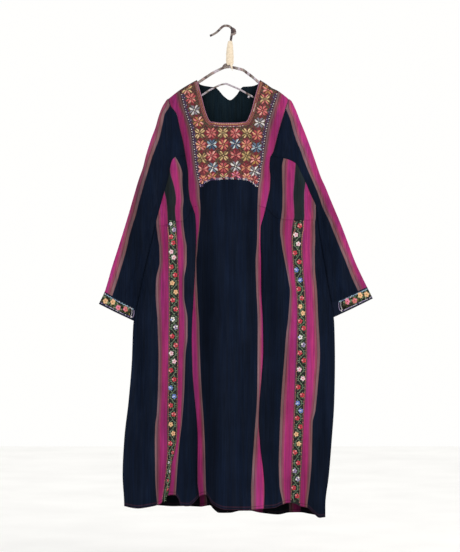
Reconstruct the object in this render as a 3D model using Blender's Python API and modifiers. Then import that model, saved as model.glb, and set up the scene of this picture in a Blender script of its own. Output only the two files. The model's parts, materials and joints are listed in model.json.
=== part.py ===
"""Embroidered thobe dress on a clothes hanger.

Every sheet is a grid of points in the garment's own plane: u runs to the right of its middle, d runs
down from the neck points, both in millimetres. A depth is then worked out for each point: the cloth
closes to nothing at the outline and at the underarm slits, swells between them and takes its folds.
"""
import math

import bpy
import numpy as np

NAME = "thobe_dress"
MM = 0.001

# Place of the garment's plane against the top of the hook, which is the origin.
MIDDLE_X = 6.2
NECK_Z = -165.4

# Cloth
WALL = 1.4
APPLIED_WALL = 0.9
APPLIED_GAP = 0.3
SEAM_HALF_GAP = 0.25
UNDERARM_HALF_GAP = 0.6
EDGE_GAP = 0.35
SLIT_HALF_GAP = 1.1
FOLD_RADIUS = 7.5
SWELL_LENGTH = 62.0
FOLD_STEPS = (0.0, 14.0, 38.0, 66.0, 90.0)
LEAST_HOLLOW = 5.0

# Swell of the cloth far from its edges: distance down, front, back
SWELL = np.array([
    # d, front, back
    (0, 20, 14),
    (150, 27, 17),
    (420, 33, 20),
    (800, 36, 23),
    (1370, 50, 30),
])

# Front panel: edges of its woven stripes and of the neck opening, by distance down
FRONT = np.array([
    # d, stripe_out_l, stripe_in_l, neck_l, neck_r, stripe_in_r, stripe_out_r
    (0, -187, -153, -97, 100, 162, 192),
    (62, -186, -143, -81, 83, 150, 189),
    (100, -164, -132, -71, 73, 137, 177),
    (137, -156, -120, -56, 59, 126, 166),
    (187, -144, -109, -55, 59, 115, 151),
    (236, -134, -103, -55, 58, 110, 136),
    (278, -127, -97, -53, 58, 103, 131),
    (306, -125, -93, -53, 57, 99, 130),
    (334, -124, -88, -53, 56, 94, 131),
    (390, -113, -86, -53, 56, 90, 120),
    (462, -103, -90, -53, 56, 90, 105),
    (546, -108, -96, -51, 54, 86, 106),
    (655, -110, -95, -50, 51, 89, 107),
    (764, -112, -90, -49, 49, 90, 109),
    (874, -111, -85, -48, 46, 90, 106),
    (998, -103, -80, -47, 43, 87, 101),
    (1123, -95, -73, -46, 41, 79, 102),
    (1232, -91, -69, -45, 38, 74, 107),
    (1329, -86, -67, -44, 37, 72, 111),
], dtype=float)

# Side gores: d on the front panel's seam, then the row's outer end on each side
GORE = np.array([
    # d_seam, u_left, d_left, u_right, d_right
    (236, -150, 235, 156, 240),
    (256, -168, 243, 193, 251),
    (278, -178, 265, 215, 265),
    (306, -184, 300, 228, 290),
    (334, -195, 340, 240, 315),
    (359, -211, 396, 257, 356),
    (378, -228, 456, 275, 396),
    (390, -230, 464, 280, 438),
    (462, -240, 509, 285, 476),
    (546, -256, 574, 298, 552),
    (655, -277, 671, 316, 658),
    (764, -296, 768, 332, 764),
    (874, -300, 874, 334, 874),
    (998, -310, 998, 332, 998),
    (1123, -324, 1123, 324, 1123),
    (1232, -329, 1232, 315, 1232),
    (1329, -324, 1329, 304, 1329),
], dtype=float)

# Ribbons: distance down, middle of the left one, middle of the right one
RIBBON = np.array([
    # d, u_left, u_right
    (437, -173, 218),
    (499, -172, 214),
    (562, -170, 215),
    (624, -168, 223),
    (686, -168, 228),
    (811, -168, 230),
    (905, -169, 228),
    (998, -172, 223),
    (1092, -173, 218),
    (1186, -178, 214),
    (1310, -190, 209),
    (1370, -193, 208),
], dtype=float)
RIBBON_WIDTH = 30.0
RIBBON_TOP = 410

# Sleeves, one row per section from the shoulder to the mouth: folded upper edge, then lower edge
SLEEVE_LEFT = np.array([
    # u_fold, d_fold, u_lower, d_lower
    (-190, 62, -185, 64),
    (-204, 84, -164, 100),
    (-215, 112, -156, 137),
    (-226, 150, -144, 187),
    (-239, 184, -134, 236),
    (-245, 203, -150, 235),
    (-251, 222, -168, 243),
    (-257, 243, -178, 265),
    (-265, 275, -184, 300),
    (-278, 312, -195, 340),
    (-292, 359, -211, 396),
    (-309, 418, -228, 456),
    (-326, 474, -240, 509),
    (-346, 537, -256, 574),
    (-362, 587, -268, 627),
    (-384, 661, -286, 714),
    (-402, 699, -293, 752),
], dtype=float)
SLEEVE_RIGHT = np.array([
    # u_fold, d_fold, u_lower, d_lower
    (197, 66, 188, 64),
    (211, 94, 177, 100),
    (223, 125, 166, 137),
    (237, 159, 151, 187),
    (250, 193, 136, 236),
    (257, 212, 156, 240),
    (268, 243, 193, 251),
    (279, 275, 215, 265),
    (290, 306, 228, 290),
    (303, 334, 240, 315),
    (318, 371, 257, 356),
    (334, 409, 275, 396),
    (356, 462, 285, 476),
    (378, 521, 298, 552),
    (396, 568, 308, 608),
    (433, 646, 322, 696),
    (451, 682, 328, 741),
], dtype=float)
# Rows of the sleeves where the gore's top begins and where it ends
GORE_ROW = 5
SLIT_ROW = 11
SLIT_TOP = 378
SETTLE_STEPS = 80

# Shoulders over the hanger, from the neck point out
SHOULDER_LEFT = np.array([(-97, 0), (-119, 12), (-150, 31), (-181, 55), (-190, 62)], dtype=float)
SHOULDER_RIGHT = np.array([(100, 0), (119, 12), (137, 25), (156, 34), (175, 48), (197, 66)], dtype=float)

# Back of the neck, with its slit
BACK_NECK = np.array([
    # u, d
    (-97, 0), (-90, 12), (-56, 20), (-41, 22), (-9, 53), (6, 62),
    (25, 48), (47, 20), (69, 19), (94, 12), (100, 0),
], dtype=float)

# Long folds: troughs are deep, ridges have a negative depth; rise is how far the hem draws up
FRONT_FOLDS = (
    # d_top, u_top, u_hem, width_left, width_right, depth, rise
    (640, -166, -186, 34, 40, 40, 23),
    (760, -88, -77, 26, 30, 36, 28),
    (690, 186, 187, 42, 44, 20, 9),
    (420, -232, -248, 44, 44, -9, 0),
    (560, -124, -120, 24, 22, -14, -3),
    (470, -2, 40, 60, 70, -10, 0),
    (560, 262, 265, 34, 34, -12, -9),
)
BACK_FOLDS = (
    # d_top, u_top, u_hem, width_left, width_right, depth, rise
    (520, 150, 160, 40, 44, 20, 12),
    (640, -40, -60, 44, 40, 18, 8),
    (700, -210, -225, 36, 40, 16, 8),
    (420, 40, 55, 50, 50, -10, 0),
    (560, 240, 250, 30, 30, -8, 0),
)
SLEEVE_FOLDS = (
    # u_0, d_0, u_1, d_1, width, depth: soft troughs across the sleeves and the shoulders
    (-170, 120, -330, 640, 15, 5.0),
    (-205, 300, -290, 690, 13, -4.0),
    (175, 120, 360, 590, 15, 5.0),
    (232, 280, 330, 660, 13, -4.0),
)
HEM_FRONT = 1327.0
HEM_FRONT_CORNER_DROP = 34.0
HEM_BACK = 1366.0
HEM_BACK_LEFT_RISE = 26.0

# Fold sewn across at the waist
TUCK_D = 388.0
TUCK_HEIGHT = 2.4
TUCK_RAMP = 26.0

# Chest panel and neck
NECK_BOTTOM = 137.0
NECK_CORNER_RISE = 7.0
NECK_MIDDLE = 1.5
NECK_HALF_WIDTH = 57.0
STRAP_REACH = 40.0
NECK_TURN = 7.0
SHOULDER_SLOPE = 1.16
BINDING_WIDTH = 10.0
CHEST_BOTTOM = 334.0
CHEST_ARCH = 25.0
ARCH_CORNER = 15.0

# Hanger
ARM_RADIUS = 4.5
BAR_RADIUS = 3.0
ARM_LIFT = 7.4
HOOK_RADIUS = 3.8
# Arm from the neck to the shoulder, then lower wire, from the left to the right
ARM_LEFT = ((-11, -39), (-25, -33), (-47, -22), (-72, -6), (-91, 7))
ARM_RIGHT = ((94, 6), (78, -8), (62, -20), (47, -31), (25, -37))
LOWER_WIRE = (
    (-180, 75), (-164, 81), (-125, 73), (-81, 47), (-56, 31), (-25, 16), (-6, 12),
    (12, 19), (37, 30), (84, 56), (131, 80), (170, 86), (184, 80),
)
FRAME_TOP = (6, -41)
NECK_PROFILE = (
    # radius, height above the frame's top
    (5.2, 4.7), (9.5, 13.0), (11.5, 28.0), (10.5, 46.0), (8.6, 66.0), (6.8, 80.0),
)
HOOK = (
    # x, z, times the hook's radius
    (6.2 + 8.8, -43.3, 1.0), (6.2 + 11, -28, 1.0), (6.2 + 14, -18, 1.6), (6.2 + 13, -7, 1.3),
    (6.2 + 7, 0, 1.0), (6.2 + 0.5, 3.2, 1.0), (0, 3.8, 1.0), (-5, 3.6, 1.0), (-11, 0.6, 1.0),
    (-18, -6, 1.0), (-27, -15, 1.0), (-37, -22, 1.0), (-50, -28, 1.0),
)

CLOTH_BLACK = (0.010, 0.013, 0.022, 1.0)
STITCH_GROUND = (0.16, 0.085, 0.05, 1.0)
BINDING_RED = (0.33, 0.045, 0.05, 1.0)
RIBBON_BLACK = (0.03, 0.035, 0.03, 1.0)
CUFF_PEACH = (0.42, 0.20, 0.16, 1.0)
WRAP_GREY = (0.20, 0.155, 0.145, 1.0)
TAPE_CREAM = (0.80, 0.68, 0.50, 1.0)


def nearest(u, d, line):
    """Least distance from each point to a line of points."""
    best = np.full(np.shape(u), 1e9)
    for start, end in zip(line[:-1], line[1:]):
        run = end - start
        along = ((u - start[0]) * run[0] + (d - start[1]) * run[1]) / (run @ run)
        along = np.clip(along, 0.0, 1.0)
        best = np.minimum(best, np.hypot(u - start[0] - along * run[0], d - start[1] - along * run[1]))
    return best


def side_line(side):
    """Underarm slit and side seam in one line, from the underarm to well past the hem."""
    column = 1 if side == "left" else 3
    line = GORE[6:, column:column + 2]
    past = line[-1] + np.array([0.0, 80.0])
    return np.vstack([line, past])


TOP_LINES = (
    np.vstack([SHOULDER_LEFT, SLEEVE_LEFT[1:, :2]]),
    np.vstack([SHOULDER_RIGHT, SLEEVE_RIGHT[1:, :2]]),
)
SIDE_LINES = (side_line("left"), side_line("right"))


def inset(u, d):
    """Distance in from the folded and sewn edges."""
    top = np.minimum(nearest(u, d, TOP_LINES[0]), nearest(u, d, TOP_LINES[1]))
    side = np.minimum(nearest(u, d, SIDE_LINES[0]), nearest(u, d, SIDE_LINES[1]))
    return np.maximum(np.minimum(top, side - SLIT_HALF_GAP), 0.0)


def swell(s, most):
    """Round at the fold, then a slow rise to the most."""
    near = np.sqrt(np.clip(s * (2 * FOLD_RADIUS - s), 0.0, None))
    far = FOLD_RADIUS + (most - FOLD_RADIUS) * (1 - np.exp(-(s - FOLD_RADIUS) / SWELL_LENGTH))
    return np.where(s < FOLD_RADIUS, near, far)


def long_folds(u, d, folds):
    """Depth of the troughs less the height of the ridges."""
    total = np.zeros(np.shape(u))
    for d_top, u_top, u_hem, left, right, depth, _ in folds:
        share = np.clip((d - d_top) / (HEM_FRONT - d_top), 0.0, 1.1)
        middle = u_top + (u_hem - u_top) * share
        width = np.where(u < middle, left, right)
        total += depth * share ** 1.25 * np.exp(-((u - middle) / width) ** 2)
    return total


def sleeve_folds(u, d):
    """Soft troughs that run down the sleeves from the shoulders."""
    total = np.zeros(np.shape(u))
    for u_0, d_0, u_1, d_1, width, depth in SLEEVE_FOLDS:
        run = np.array([u_1 - u_0, d_1 - d_0])
        length = math.hypot(run[0], run[1])
        along = ((u - u_0) * run[0] + (d - d_0) * run[1]) / length ** 2
        across = ((u - u_0) * run[1] - (d - d_0) * run[0]) / length
        fade = np.clip(along * 3.0, 0.0, 1.0) * (along < 1.3)
        total += depth * fade * np.exp(-(across / width) ** 2)
    return total


def tuck(row):
    """Step of the waist fold, by the row's own distance down on the front panel's seam."""
    up = np.clip((row - TUCK_D + TUCK_RAMP) / TUCK_RAMP, 0.0, 1.0)
    return TUCK_HEIGHT * up * (row <= TUCK_D)


def front_y(u, d, row, edge=None):
    """Depth of the front's outer face, negative towards the viewer; edge is a known inset."""
    s = inset(u, d) if edge is None else np.array(edge)
    body = swell(s, np.interp(d, SWELL[:, 0], SWELL[:, 1]))
    soft = np.clip((s - 3.0) / 25.0, 0.0, 1.0)
    folded = body - soft * (long_folds(u, d, FRONT_FOLDS) + sleeve_folds(u, d))
    folded = np.maximum(folded, np.minimum(body, LEAST_HOLLOW))
    return -(folded + EDGE_GAP + soft * tuck(row))


def back_y(u, d, edge=None):
    """Depth of the back's outer face."""
    s = inset(u, d) if edge is None else np.array(edge)
    body = swell(s, np.interp(d, SWELL[:, 0], SWELL[:, 2]))
    soft = np.clip((s - 3.0) / 25.0, 0.0, 1.0)
    folded = body - soft * long_folds(u, d, BACK_FOLDS)
    return np.maximum(folded, np.minimum(body, LEAST_HOLLOW)) + EDGE_GAP


def front_edge(name, d):
    columns = ("d", "stripe_out_l", "stripe_in_l", "neck_l", "neck_r", "stripe_in_r", "stripe_out_r")
    return np.interp(d, FRONT[:, 0], FRONT[:, columns.index(name)])


def shoulder_d(u):
    """Shoulder line on the side that u is on."""
    line = SHOULDER_LEFT[::-1] if u < 0 else SHOULDER_RIGHT
    return float(np.interp(u, line[:, 0], line[:, 1]))


def edge_insets():
    return [FOLD_RADIUS * (1 - math.cos(math.radians(step))) for step in FOLD_STEPS]


def hem_drop(u, folds):
    """How far the hem is drawn up by the folds at u."""
    total = 0.0
    for _, _, u_hem, left, right, _, rise in folds:
        width = left if u < u_hem else right
        total += rise * math.exp(-((u - u_hem) / width) ** 2)
    return total


def front_hem(u):
    corner = HEM_FRONT_CORNER_DROP * np.clip((u - 235.0) / 60.0, 0.0, 1.0)
    return HEM_FRONT + corner - hem_drop(u, FRONT_FOLDS)


def back_hem(u):
    left = HEM_BACK_LEFT_RISE * np.clip((-40.0 - u) / 60.0, 0.0, 1.0)
    return HEM_BACK - left - hem_drop(u, BACK_FOLDS)


# Levels of the rows, as distance down on the front panel's seams; every table's own rows are among them
NECK_ROWS = (137, 147, 165, 187, 212)
NECK_SHARES = (0.09, 0.26, 0.47, 0.73)
BACK_NECK_SHARES = (0.2, 0.47)
BODY_ROWS = (
    236, 256, 278, 306, 334, 359, 378, 387.5, 390, 410, 434, 462, 504, 546, 600, 655, 710, 764, 820,
    874, 935, 998, 1040, 1082, 1123, 1160, 1196, 1232, 1265, 1297, 1329,
)
BACK_NECK_ROWS = (137, 187)
BACK_ROWS = (
    236, 256, 278, 306, 334, 359, 378, 390, 462, 546, 655, 764, 874, 998, 1060, 1123, 1180, 1232,
    1280, 1329,
)
HEM_BEND_TOP = 998.0
HEM_LEVEL = 1329.0

# Columns of the front panel: share of the way from one named edge to the next
FRONT_COLUMNS = (
    # from, to, shares
    ("stripe_out_l", "stripe_in_l", (0.0, 0.5)),
    ("stripe_in_l", "neck_l", (0.0, 0.28, 0.55)),
    ("neck_l", "neck_r", (0.0, 0.13, 0.26, 0.4, 0.55, 0.7, 0.85)),
    ("neck_r", "stripe_in_r", (0.0, 0.5, 0.75)),
    ("stripe_in_r", "stripe_out_r", (0.0, 0.5, 1.0)),
)
# The binding's outer edge is a column of its own beside each edge of the neck.
BINDING_LEFT = 5
NECK_LEFT = 6
NECK_RIGHT = 13
BINDING_RIGHT = 14
CHEST_LEFT = 2
CHEST_RIGHT = 17


def front_columns(d):
    """The front panel's columns at one distance down."""
    out = []
    for start, end, shares in FRONT_COLUMNS:
        a = front_edge(start, d)
        b = front_edge(end, d)
        out.extend(a + (b - a) * share for share in shares)
        if end == "neck_l":
            out.append(b - BINDING_WIDTH)
        if start == "neck_r":
            out.insert(len(out) - 2, a + BINDING_WIDTH)
    out[0] += SEAM_HALF_GAP
    out[-1] -= SEAM_HALF_GAP
    return out


def arch_share(row):
    """How much of the chest panel's arch a row takes."""
    return float(np.interp(row, (256, 278, 306, CHEST_BOTTOM, 359, 378), (0.0, 0.15, 0.5, 1.0, 0.45, 0.0)))


def arched(d, u):
    """Rise of the arch between the stripes' inner edges."""
    reach = min(u - front_edge("stripe_in_l", d), front_edge("stripe_in_r", d) - u)
    return CHEST_ARCH * (1 - math.exp(-max(reach, 0.0) / ARCH_CORNER))


def neck_rise(u):
    """The neck's lower edge draws up a little at its corners."""
    off = abs(u - NECK_MIDDLE)
    beyond = max(off - NECK_HALF_WIDTH, 0.0) / STRAP_REACH
    return NECK_CORNER_RISE * min(off / NECK_HALF_WIDTH, 1.0) ** 4 * max(1.0 - beyond, 0.0)


def to_hem(row):
    """How far a row has taken the hem's own line."""
    return float(np.clip((row - HEM_BEND_TOP) / (HEM_LEVEL - HEM_BEND_TOP), 0.0, 1.0))


def body_row(row, hem, columns):
    """Points of one row: the row bends to the arch and, near the bottom, to the hem."""
    points = []
    for u in columns:
        d = row - arch_share(row) * arched(row, u)
        if row < 150:
            d -= neck_rise(u)
        points.append((u, d + to_hem(row) * (hem(u) - HEM_LEVEL), None))
    return points


def column_head(columns_at, column, top_line):
    """Where a column meets the upper edge."""
    d = 60.0
    for _ in range(SETTLE_STEPS):
        d = 0.5 * (d + top_line(columns_at(d)[column]))
    return d


def front_panel_grid():
    """Rows of points, row by row; the neck's columns have no points above its lower edge."""
    top = edge_insets()
    count = len(front_columns(0))
    rows = []
    heads = [column_head(front_columns, column, shoulder_d) for column in range(count)]
    for step, share in [(step, None) for step in top] + [(None, share) for share in NECK_SHARES]:
        row = []
        for column in range(count):
            if NECK_LEFT < column < NECK_RIGHT:
                row.append(None)
                continue
            d = heads[column] + (step if share is None else top[-1]) * SHOULDER_SLOPE
            if share is not None:
                low = NECK_BOTTOM - neck_rise(front_columns(NECK_BOTTOM)[column])
                d += (low - d) * share
            row.append((front_columns(d)[column], d, step))
        rows.append((0.0, row))
    for row in NECK_ROWS + BODY_ROWS:
        rows.append((row, body_row(row, front_hem, front_columns(row))))
    return rows


def crossing(run, seam):
    """Sine of the angle between a row and the seam that it ends on."""
    cross = abs(run[0] * seam[1] - run[1] * seam[0])
    return max(cross / math.hypot(run[0], run[1]) / math.hypot(seam[0], seam[1]), 0.35)


def gore_rows(side, levels, hem, shares_of):
    """Rows of a gore from the front panel's seam to its outer edge."""
    seam = "stripe_out_l" if side == "left" else "stripe_out_r"
    column = 1 if side == "left" else 3
    sign = -1.0 if side == "left" else 1.0
    out = []
    for row in levels:
        start = np.array([front_edge(seam, row) + sign * SEAM_HALF_GAP, row])
        end_u = np.interp(row, GORE[:, 0], GORE[:, column])
        end_d = np.interp(row, GORE[:, 0], GORE[:, column + 1])
        end = np.array([end_u, end_d])
        turned_in = row >= SLIT_TOP
        gap = SLIT_HALF_GAP
        if not turned_in:
            gap = SEAM_HALF_GAP if row < 330 else UNDERARM_HALF_GAP
        if row == BODY_ROWS[0]:
            start[1] += 2 * SEAM_HALF_GAP
            end[1] += 2 * SEAM_HALF_GAP
        run = end - start
        length = math.hypot(run[0], run[1])
        index = int(np.searchsorted(GORE[:, 0], row))
        outer = GORE[:, column:column + 2]
        gap /= crossing(run, outer[min(index + 1, len(outer) - 1)] - outer[max(index - 1, 0)])
        end = end - run / length * gap
        run = end - start
        length -= gap
        points = []
        for share in shares_of(side, row, start, run, length):
            u, d = start + run * share
            off = (1.0 - share) * length
            edge = off if turned_in and off <= FOLD_RADIUS + 0.01 else None
            points.append((u, d + to_hem(row) * (hem(u) - HEM_LEVEL), edge))
        out.append((row, points))
    return out


def edge_shares(length):
    """Shares of a row at its outer edge, where the cloth turns round to the seam."""
    scale = min(1.0, 0.3 * length / FOLD_RADIUS)
    return [1.0 - inset_mm * scale / length for inset_mm in edge_insets()[::-1]]


def front_gore_shares(side, row, start, run, length):
    """Columns of a front gore: the ribbon's edges are columns."""
    column = 1 if side == "left" else 2
    level = max(row, TUCK_D)
    if level != row:
        reference = gore_rows(side, (level,), front_hem, whole_row)[0][1]
        start = np.array(reference[0][:2])
        run = np.array(reference[1][:2]) - start
    middle = 0.5
    for _ in range(SETTLE_STEPS):
        d = start[1] + run[1] * middle
        u = np.interp(d, RIBBON[:, 0], RIBBON[:, column])
        middle = (u - start[0]) / run[0]
    half = 0.5 * RIBBON_WIDTH / abs(run[0])
    first = middle - half
    last = middle + half
    end = edge_shares(length)
    inner = [first * part for part in (0.0, 0.25, 0.5, 0.75)]
    outer = [last + (end[0] - last) * part for part in (0.2, 0.4, 0.6, 0.8)]
    return inner + [first, middle, last] + outer + end


RIBBON_FIRST = 4
RIBBON_LAST = 6


def whole_row(side, row, start, run, length):
    return (0.0, 1.0)


def back_gore_shares(side, row, start, run, length):
    end = edge_shares(length)
    return [end[0] * part for part in (0.0, 0.17, 0.34, 0.51, 0.67, 0.84)] + end


def sleeve_rows(table, side):
    """Rows of a sleeve: shares run from the fold at its upper edge to its lower edge."""
    rows = []
    seam = "stripe_out_l" if side == "left" else "stripe_out_r"
    for index, (u_fold, d_fold, u_lower, d_lower) in enumerate(table):
        fold = np.array([u_fold, d_fold])
        lower = np.array([u_lower, d_lower])
        if index < GORE_ROW:
            lower[0] = front_edge(seam, d_lower)
        gap = SLIT_HALF_GAP
        if index < SLIT_ROW:
            gap = SEAM_HALF_GAP if 2 <= index < SLIT_ROW - 2 else UNDERARM_HALF_GAP
        run = lower - fold
        length = math.hypot(run[0], run[1])
        seam_run = table[min(index + 1, len(table) - 1), 2:] - table[max(index - 1, 0), 2:]
        gap /= crossing(run, seam_run)
        lower = lower - run / length * gap
        run = lower - fold
        length -= gap
        ends = edge_shares(length)
        near = [1.0 - share for share in ends[::-1]]
        middle = [near[-1] + (ends[0] - near[-1]) * part for part in (0.25, 0.5, 0.75)]
        row = []
        for share in near + middle + ends:
            u, d = fold + run * share
            from_fold = share * length
            from_lower = (1.0 - share) * length
            edge = None
            if from_fold <= FOLD_RADIUS + 0.01 and share < 0.5:
                edge = from_fold
            elif index >= SLIT_ROW and from_lower <= FOLD_RADIUS + 0.01:
                edge = from_lower
            row.append((u, d, edge))
        rows.append(row)
    return rows


def place(u, d, y):
    return ((u + MIDDLE_X) * MM, y * MM, (NECK_Z - d) * MM)


def front_points(rows):
    """Place every point of a front grid; None stays where the grid has no point."""
    out = []
    for level, row in rows:
        placed = []
        for point in row:
            if point is None:
                placed.append(None)
                continue
            u, d, edge = point
            placed.append(place(u, d, float(front_y(np.array(u), np.array(d), level, edge))))
        out.append(placed)
    return out


def back_points(rows):
    """Place every point of a back grid."""
    out = []
    for _, row in rows:
        placed = []
        for point in row:
            if point is None:
                placed.append(None)
                continue
            u, d, edge = point
            placed.append(place(u, d, float(back_y(np.array(u), np.array(d), edge))))
        out.append(placed)
    return out


def grid_mesh(name, grid, flip):
    """Open surface over a grid; a face is left out where a corner is missing."""
    vertices = []
    faces = []
    numbers = {}
    for i, row in enumerate(grid):
        for j, point in enumerate(row):
            if point is not None:
                numbers[(i, j)] = len(vertices)
                vertices.append(point)
    for i in range(len(grid) - 1):
        for j in range(len(grid[0]) - 1):
            corners = [numbers.get(key) for key in ((i, j), (i + 1, j), (i + 1, j + 1), (i, j + 1))]
            if None in corners:
                continue
            faces.append(corners[::-1] if flip else corners)
    mesh = bpy.data.meshes.new(name)
    mesh.from_pydata(vertices, [], faces)
    mesh.update()
    mesh.shade_smooth()
    return mesh


def material(name, colour, roughness, metallic=0.0):
    made = bpy.data.materials.new(name)
    made.use_nodes = True
    shader = made.node_tree.nodes["Principled BSDF"]
    shader.inputs["Base Color"].default_value = colour
    shader.inputs["Roughness"].default_value = roughness
    shader.inputs["Metallic"].default_value = metallic
    made.diffuse_color = colour
    return made


def add(name, data, look, collection):
    made = bpy.data.objects.new(name, data)
    data.materials.append(look)
    collection.objects.link(made)
    return made


def sheet(name, grid, flip, look, collection, wall=WALL, offset=-1.0):
    """A sheet with a wall that lies inside (offset -1) or outside (offset 1) its points."""
    made = add(name, grid_mesh(name, grid, flip), look, collection)
    thick = made.modifiers.new("wall", "SOLIDIFY")
    thick.thickness = wall * MM
    thick.offset = offset
    thick.use_even_offset = True
    thick.use_quality_normals = True
    return made


def moved_out(grid, flip, distance):
    """The same grid, each point moved out along the cloth's own normal."""
    mesh = grid_mesh("moved", grid, flip)
    normals = [tuple(vertex.normal) for vertex in mesh.vertices]
    out = []
    count = 0
    for row in grid:
        moved = []
        for point in row:
            if point is None:
                moved.append(None)
                continue
            moved.append(tuple(np.array(point) + np.array(normals[count]) * distance * MM))
            count += 1
        out.append(moved)
    bpy.data.meshes.remove(mesh)
    return out


def part_of(grid, rows, columns, keep=None):
    """A patch of a grid, with its own points only."""
    out = []
    for i in range(rows[0], rows[1] + 1):
        row = []
        for j in range(columns[0], columns[1] + 1):
            row.append(grid[i][j] if keep is None or keep(i, j) else None)
        out.append(row)
    return out


def tube(name, points, radius, look, collection, cyclic=False):
    """A wire through the points; each point is x, z and its share of the radius."""
    curve = bpy.data.curves.new(name, "CURVE")
    curve.dimensions = "3D"
    curve.bevel_depth = radius * MM
    curve.bevel_resolution = 2
    curve.use_fill_caps = not cyclic
    curve.twist_mode = "MINIMUM"
    spline = curve.splines.new("POLY")
    spline.points.add(len(points) - 1)
    for point, (x, z, share) in zip(spline.points, points):
        point.co = (x * MM, 0.0, z * MM, 1.0)
        point.radius = share
    spline.use_cyclic_u = cyclic
    return add(name, curve, look, collection)


def turned(name, profile, place_at, look, collection):
    """A turned piece from its profile, radius and height, top to bottom."""
    mesh = bpy.data.meshes.new(name)
    points = [(0.0, 0.0, profile[-1][1] * MM)]
    points += [(radius * MM, 0.0, height * MM) for radius, height in profile[::-1]]
    points += [(0.0, 0.0, profile[0][1] * MM)]
    mesh.from_pydata(points, [(i, i + 1) for i in range(len(points) - 1)], [])
    made = add(name, mesh, look, collection)
    screw = made.modifiers.new("turn", "SCREW")
    screw.steps = 16
    screw.render_steps = 16
    screw.use_merge_vertices = True
    screw.merge_threshold = 0.0001
    made.location = place_at
    return made


def arm_inside(line, lift):
    """The hanger's arm under a shoulder, a fixed distance in from the cloth's outline."""
    out = []
    for index in range(1, len(line)):
        run = line[index] - line[index - 1]
        inward = np.array([-run[1], run[0]]) / math.hypot(run[0], run[1])
        if inward[1] < 0:
            inward = -inward
        out.append(line[index - 1] + run * 0.5 + inward * lift)
    return out


# Columns of the back that run from the two ends of the neck
BACK_NECK_LEFT = 4
BACK_NECK_RIGHT = 12
# The slit's two flaps at the neck and where they have died away: distance down, left, right
BACK_FLAPS = ((137, -41, 40), (187, -26, 30))


def back_columns(d):
    """Columns of the back panel, with one down the middle of the slit."""
    names = ("stripe_out_l", "stripe_in_l", "neck_l", "neck_r", "stripe_in_r", "stripe_out_r")
    edges = [float(front_edge(name, d)) for name in names]
    middle = BACK_NECK[5][0]
    levels = [flap[0] for flap in BACK_FLAPS]
    left = float(np.interp(d, levels, [flap[1] for flap in BACK_FLAPS]))
    right = float(np.interp(d, levels, [flap[2] for flap in BACK_FLAPS]))
    out = [edges[0] + SEAM_HALF_GAP, 0.5 * (edges[0] + edges[1]), edges[1], 0.5 * (edges[1] + edges[2])]
    out += [edges[2], edges[2] + NECK_TURN]
    out += [left, 0.5 * (left + middle), middle, 0.5 * (middle + right), right]
    out += [edges[3] - NECK_TURN, edges[3]]
    out += [0.5 * (edges[3] + edges[4]), edges[4], 0.5 * (edges[4] + edges[5])]
    out.append(edges[5] - SEAM_HALF_GAP)
    return out


def back_top(u):
    """Upper edge of the back: the shoulders, and the neck between them."""
    if u <= BACK_NECK[0][0] or u >= BACK_NECK[-1][0]:
        return shoulder_d(u)
    return float(np.interp(u, BACK_NECK[:, 0], BACK_NECK[:, 1]))


def build_dress(collection, looks):
    black = looks["cloth"]
    front = front_points(front_panel_grid())
    sheet("front_panel", front, False, black, collection)

    first_row = len(edge_insets()) + len(NECK_SHARES)
    arch_row = first_row + len(NECK_ROWS) + BODY_ROWS.index(CHEST_BOTTOM)
    chest = moved_out(front, False, APPLIED_GAP)
    chest_columns = (CHEST_LEFT, CHEST_RIGHT)
    sheet("chest_panel", part_of(chest, (2, arch_row), chest_columns), False, looks["stitches"],
          collection, APPLIED_WALL, 1.0)

    def by_the_neck(i, j):
        beside = j in (BINDING_LEFT, NECK_LEFT, NECK_RIGHT, BINDING_RIGHT)
        return beside or i >= first_row

    lifted = moved_out(front, False, 2 * APPLIED_GAP + APPLIED_WALL)
    around = part_of(lifted, (4, first_row + 1), (BINDING_LEFT, BINDING_RIGHT), by_the_neck)
    sheet("neck_binding", around, False, looks["binding"], collection, APPLIED_WALL, 1.0)

    top = edge_insets()
    back_rows = []
    heads = [column_head(back_columns, column, back_top) for column in range(len(back_columns(0)))]
    for step, share in [(step, None) for step in top] + [(None, share) for share in BACK_NECK_SHARES]:
        row = []
        for column, head in enumerate(heads):
            in_neck = BACK_NECK_LEFT < column < BACK_NECK_RIGHT
            if in_neck and share is None and step < top[-1]:
                row.append(None)
                continue
            down = step if share is None else top[-1]
            d = head if in_neck else head + down * SHOULDER_SLOPE
            if share is not None:
                d += (BACK_NECK_ROWS[0] - d) * share
            row.append((back_columns(d)[column], d, None if in_neck else step))
        back_rows.append((0.0, row))
    for level in BACK_NECK_ROWS + BACK_ROWS:
        row = [(u, level + to_hem(level) * (back_hem(u) - HEM_LEVEL), None) for u in back_columns(level)]
        back_rows.append((level, row))
    sheet("back_panel", back_points(back_rows), True, black, collection)

    for side in ("left", "right"):
        flip = side == "left"
        rows = gore_rows(side, BODY_ROWS, front_hem, front_gore_shares)
        grid = front_points(rows)
        sheet("side_panel_front_" + side, grid, flip, black, collection)
        on_top = moved_out(grid, flip, APPLIED_GAP)
        start_row = BODY_ROWS.index(RIBBON_TOP)
        ribbon = part_of(on_top, (start_row, len(grid) - 1), (RIBBON_FIRST, RIBBON_LAST))
        sheet("ribbon_" + side, ribbon, flip, looks["ribbon"], collection, APPLIED_WALL, 1.0)
        rows = gore_rows(side, BACK_ROWS, back_hem, back_gore_shares)
        sheet("side_panel_back_" + side, back_points(rows), not flip, black, collection)
        build_sleeve(side, collection, looks)


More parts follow.
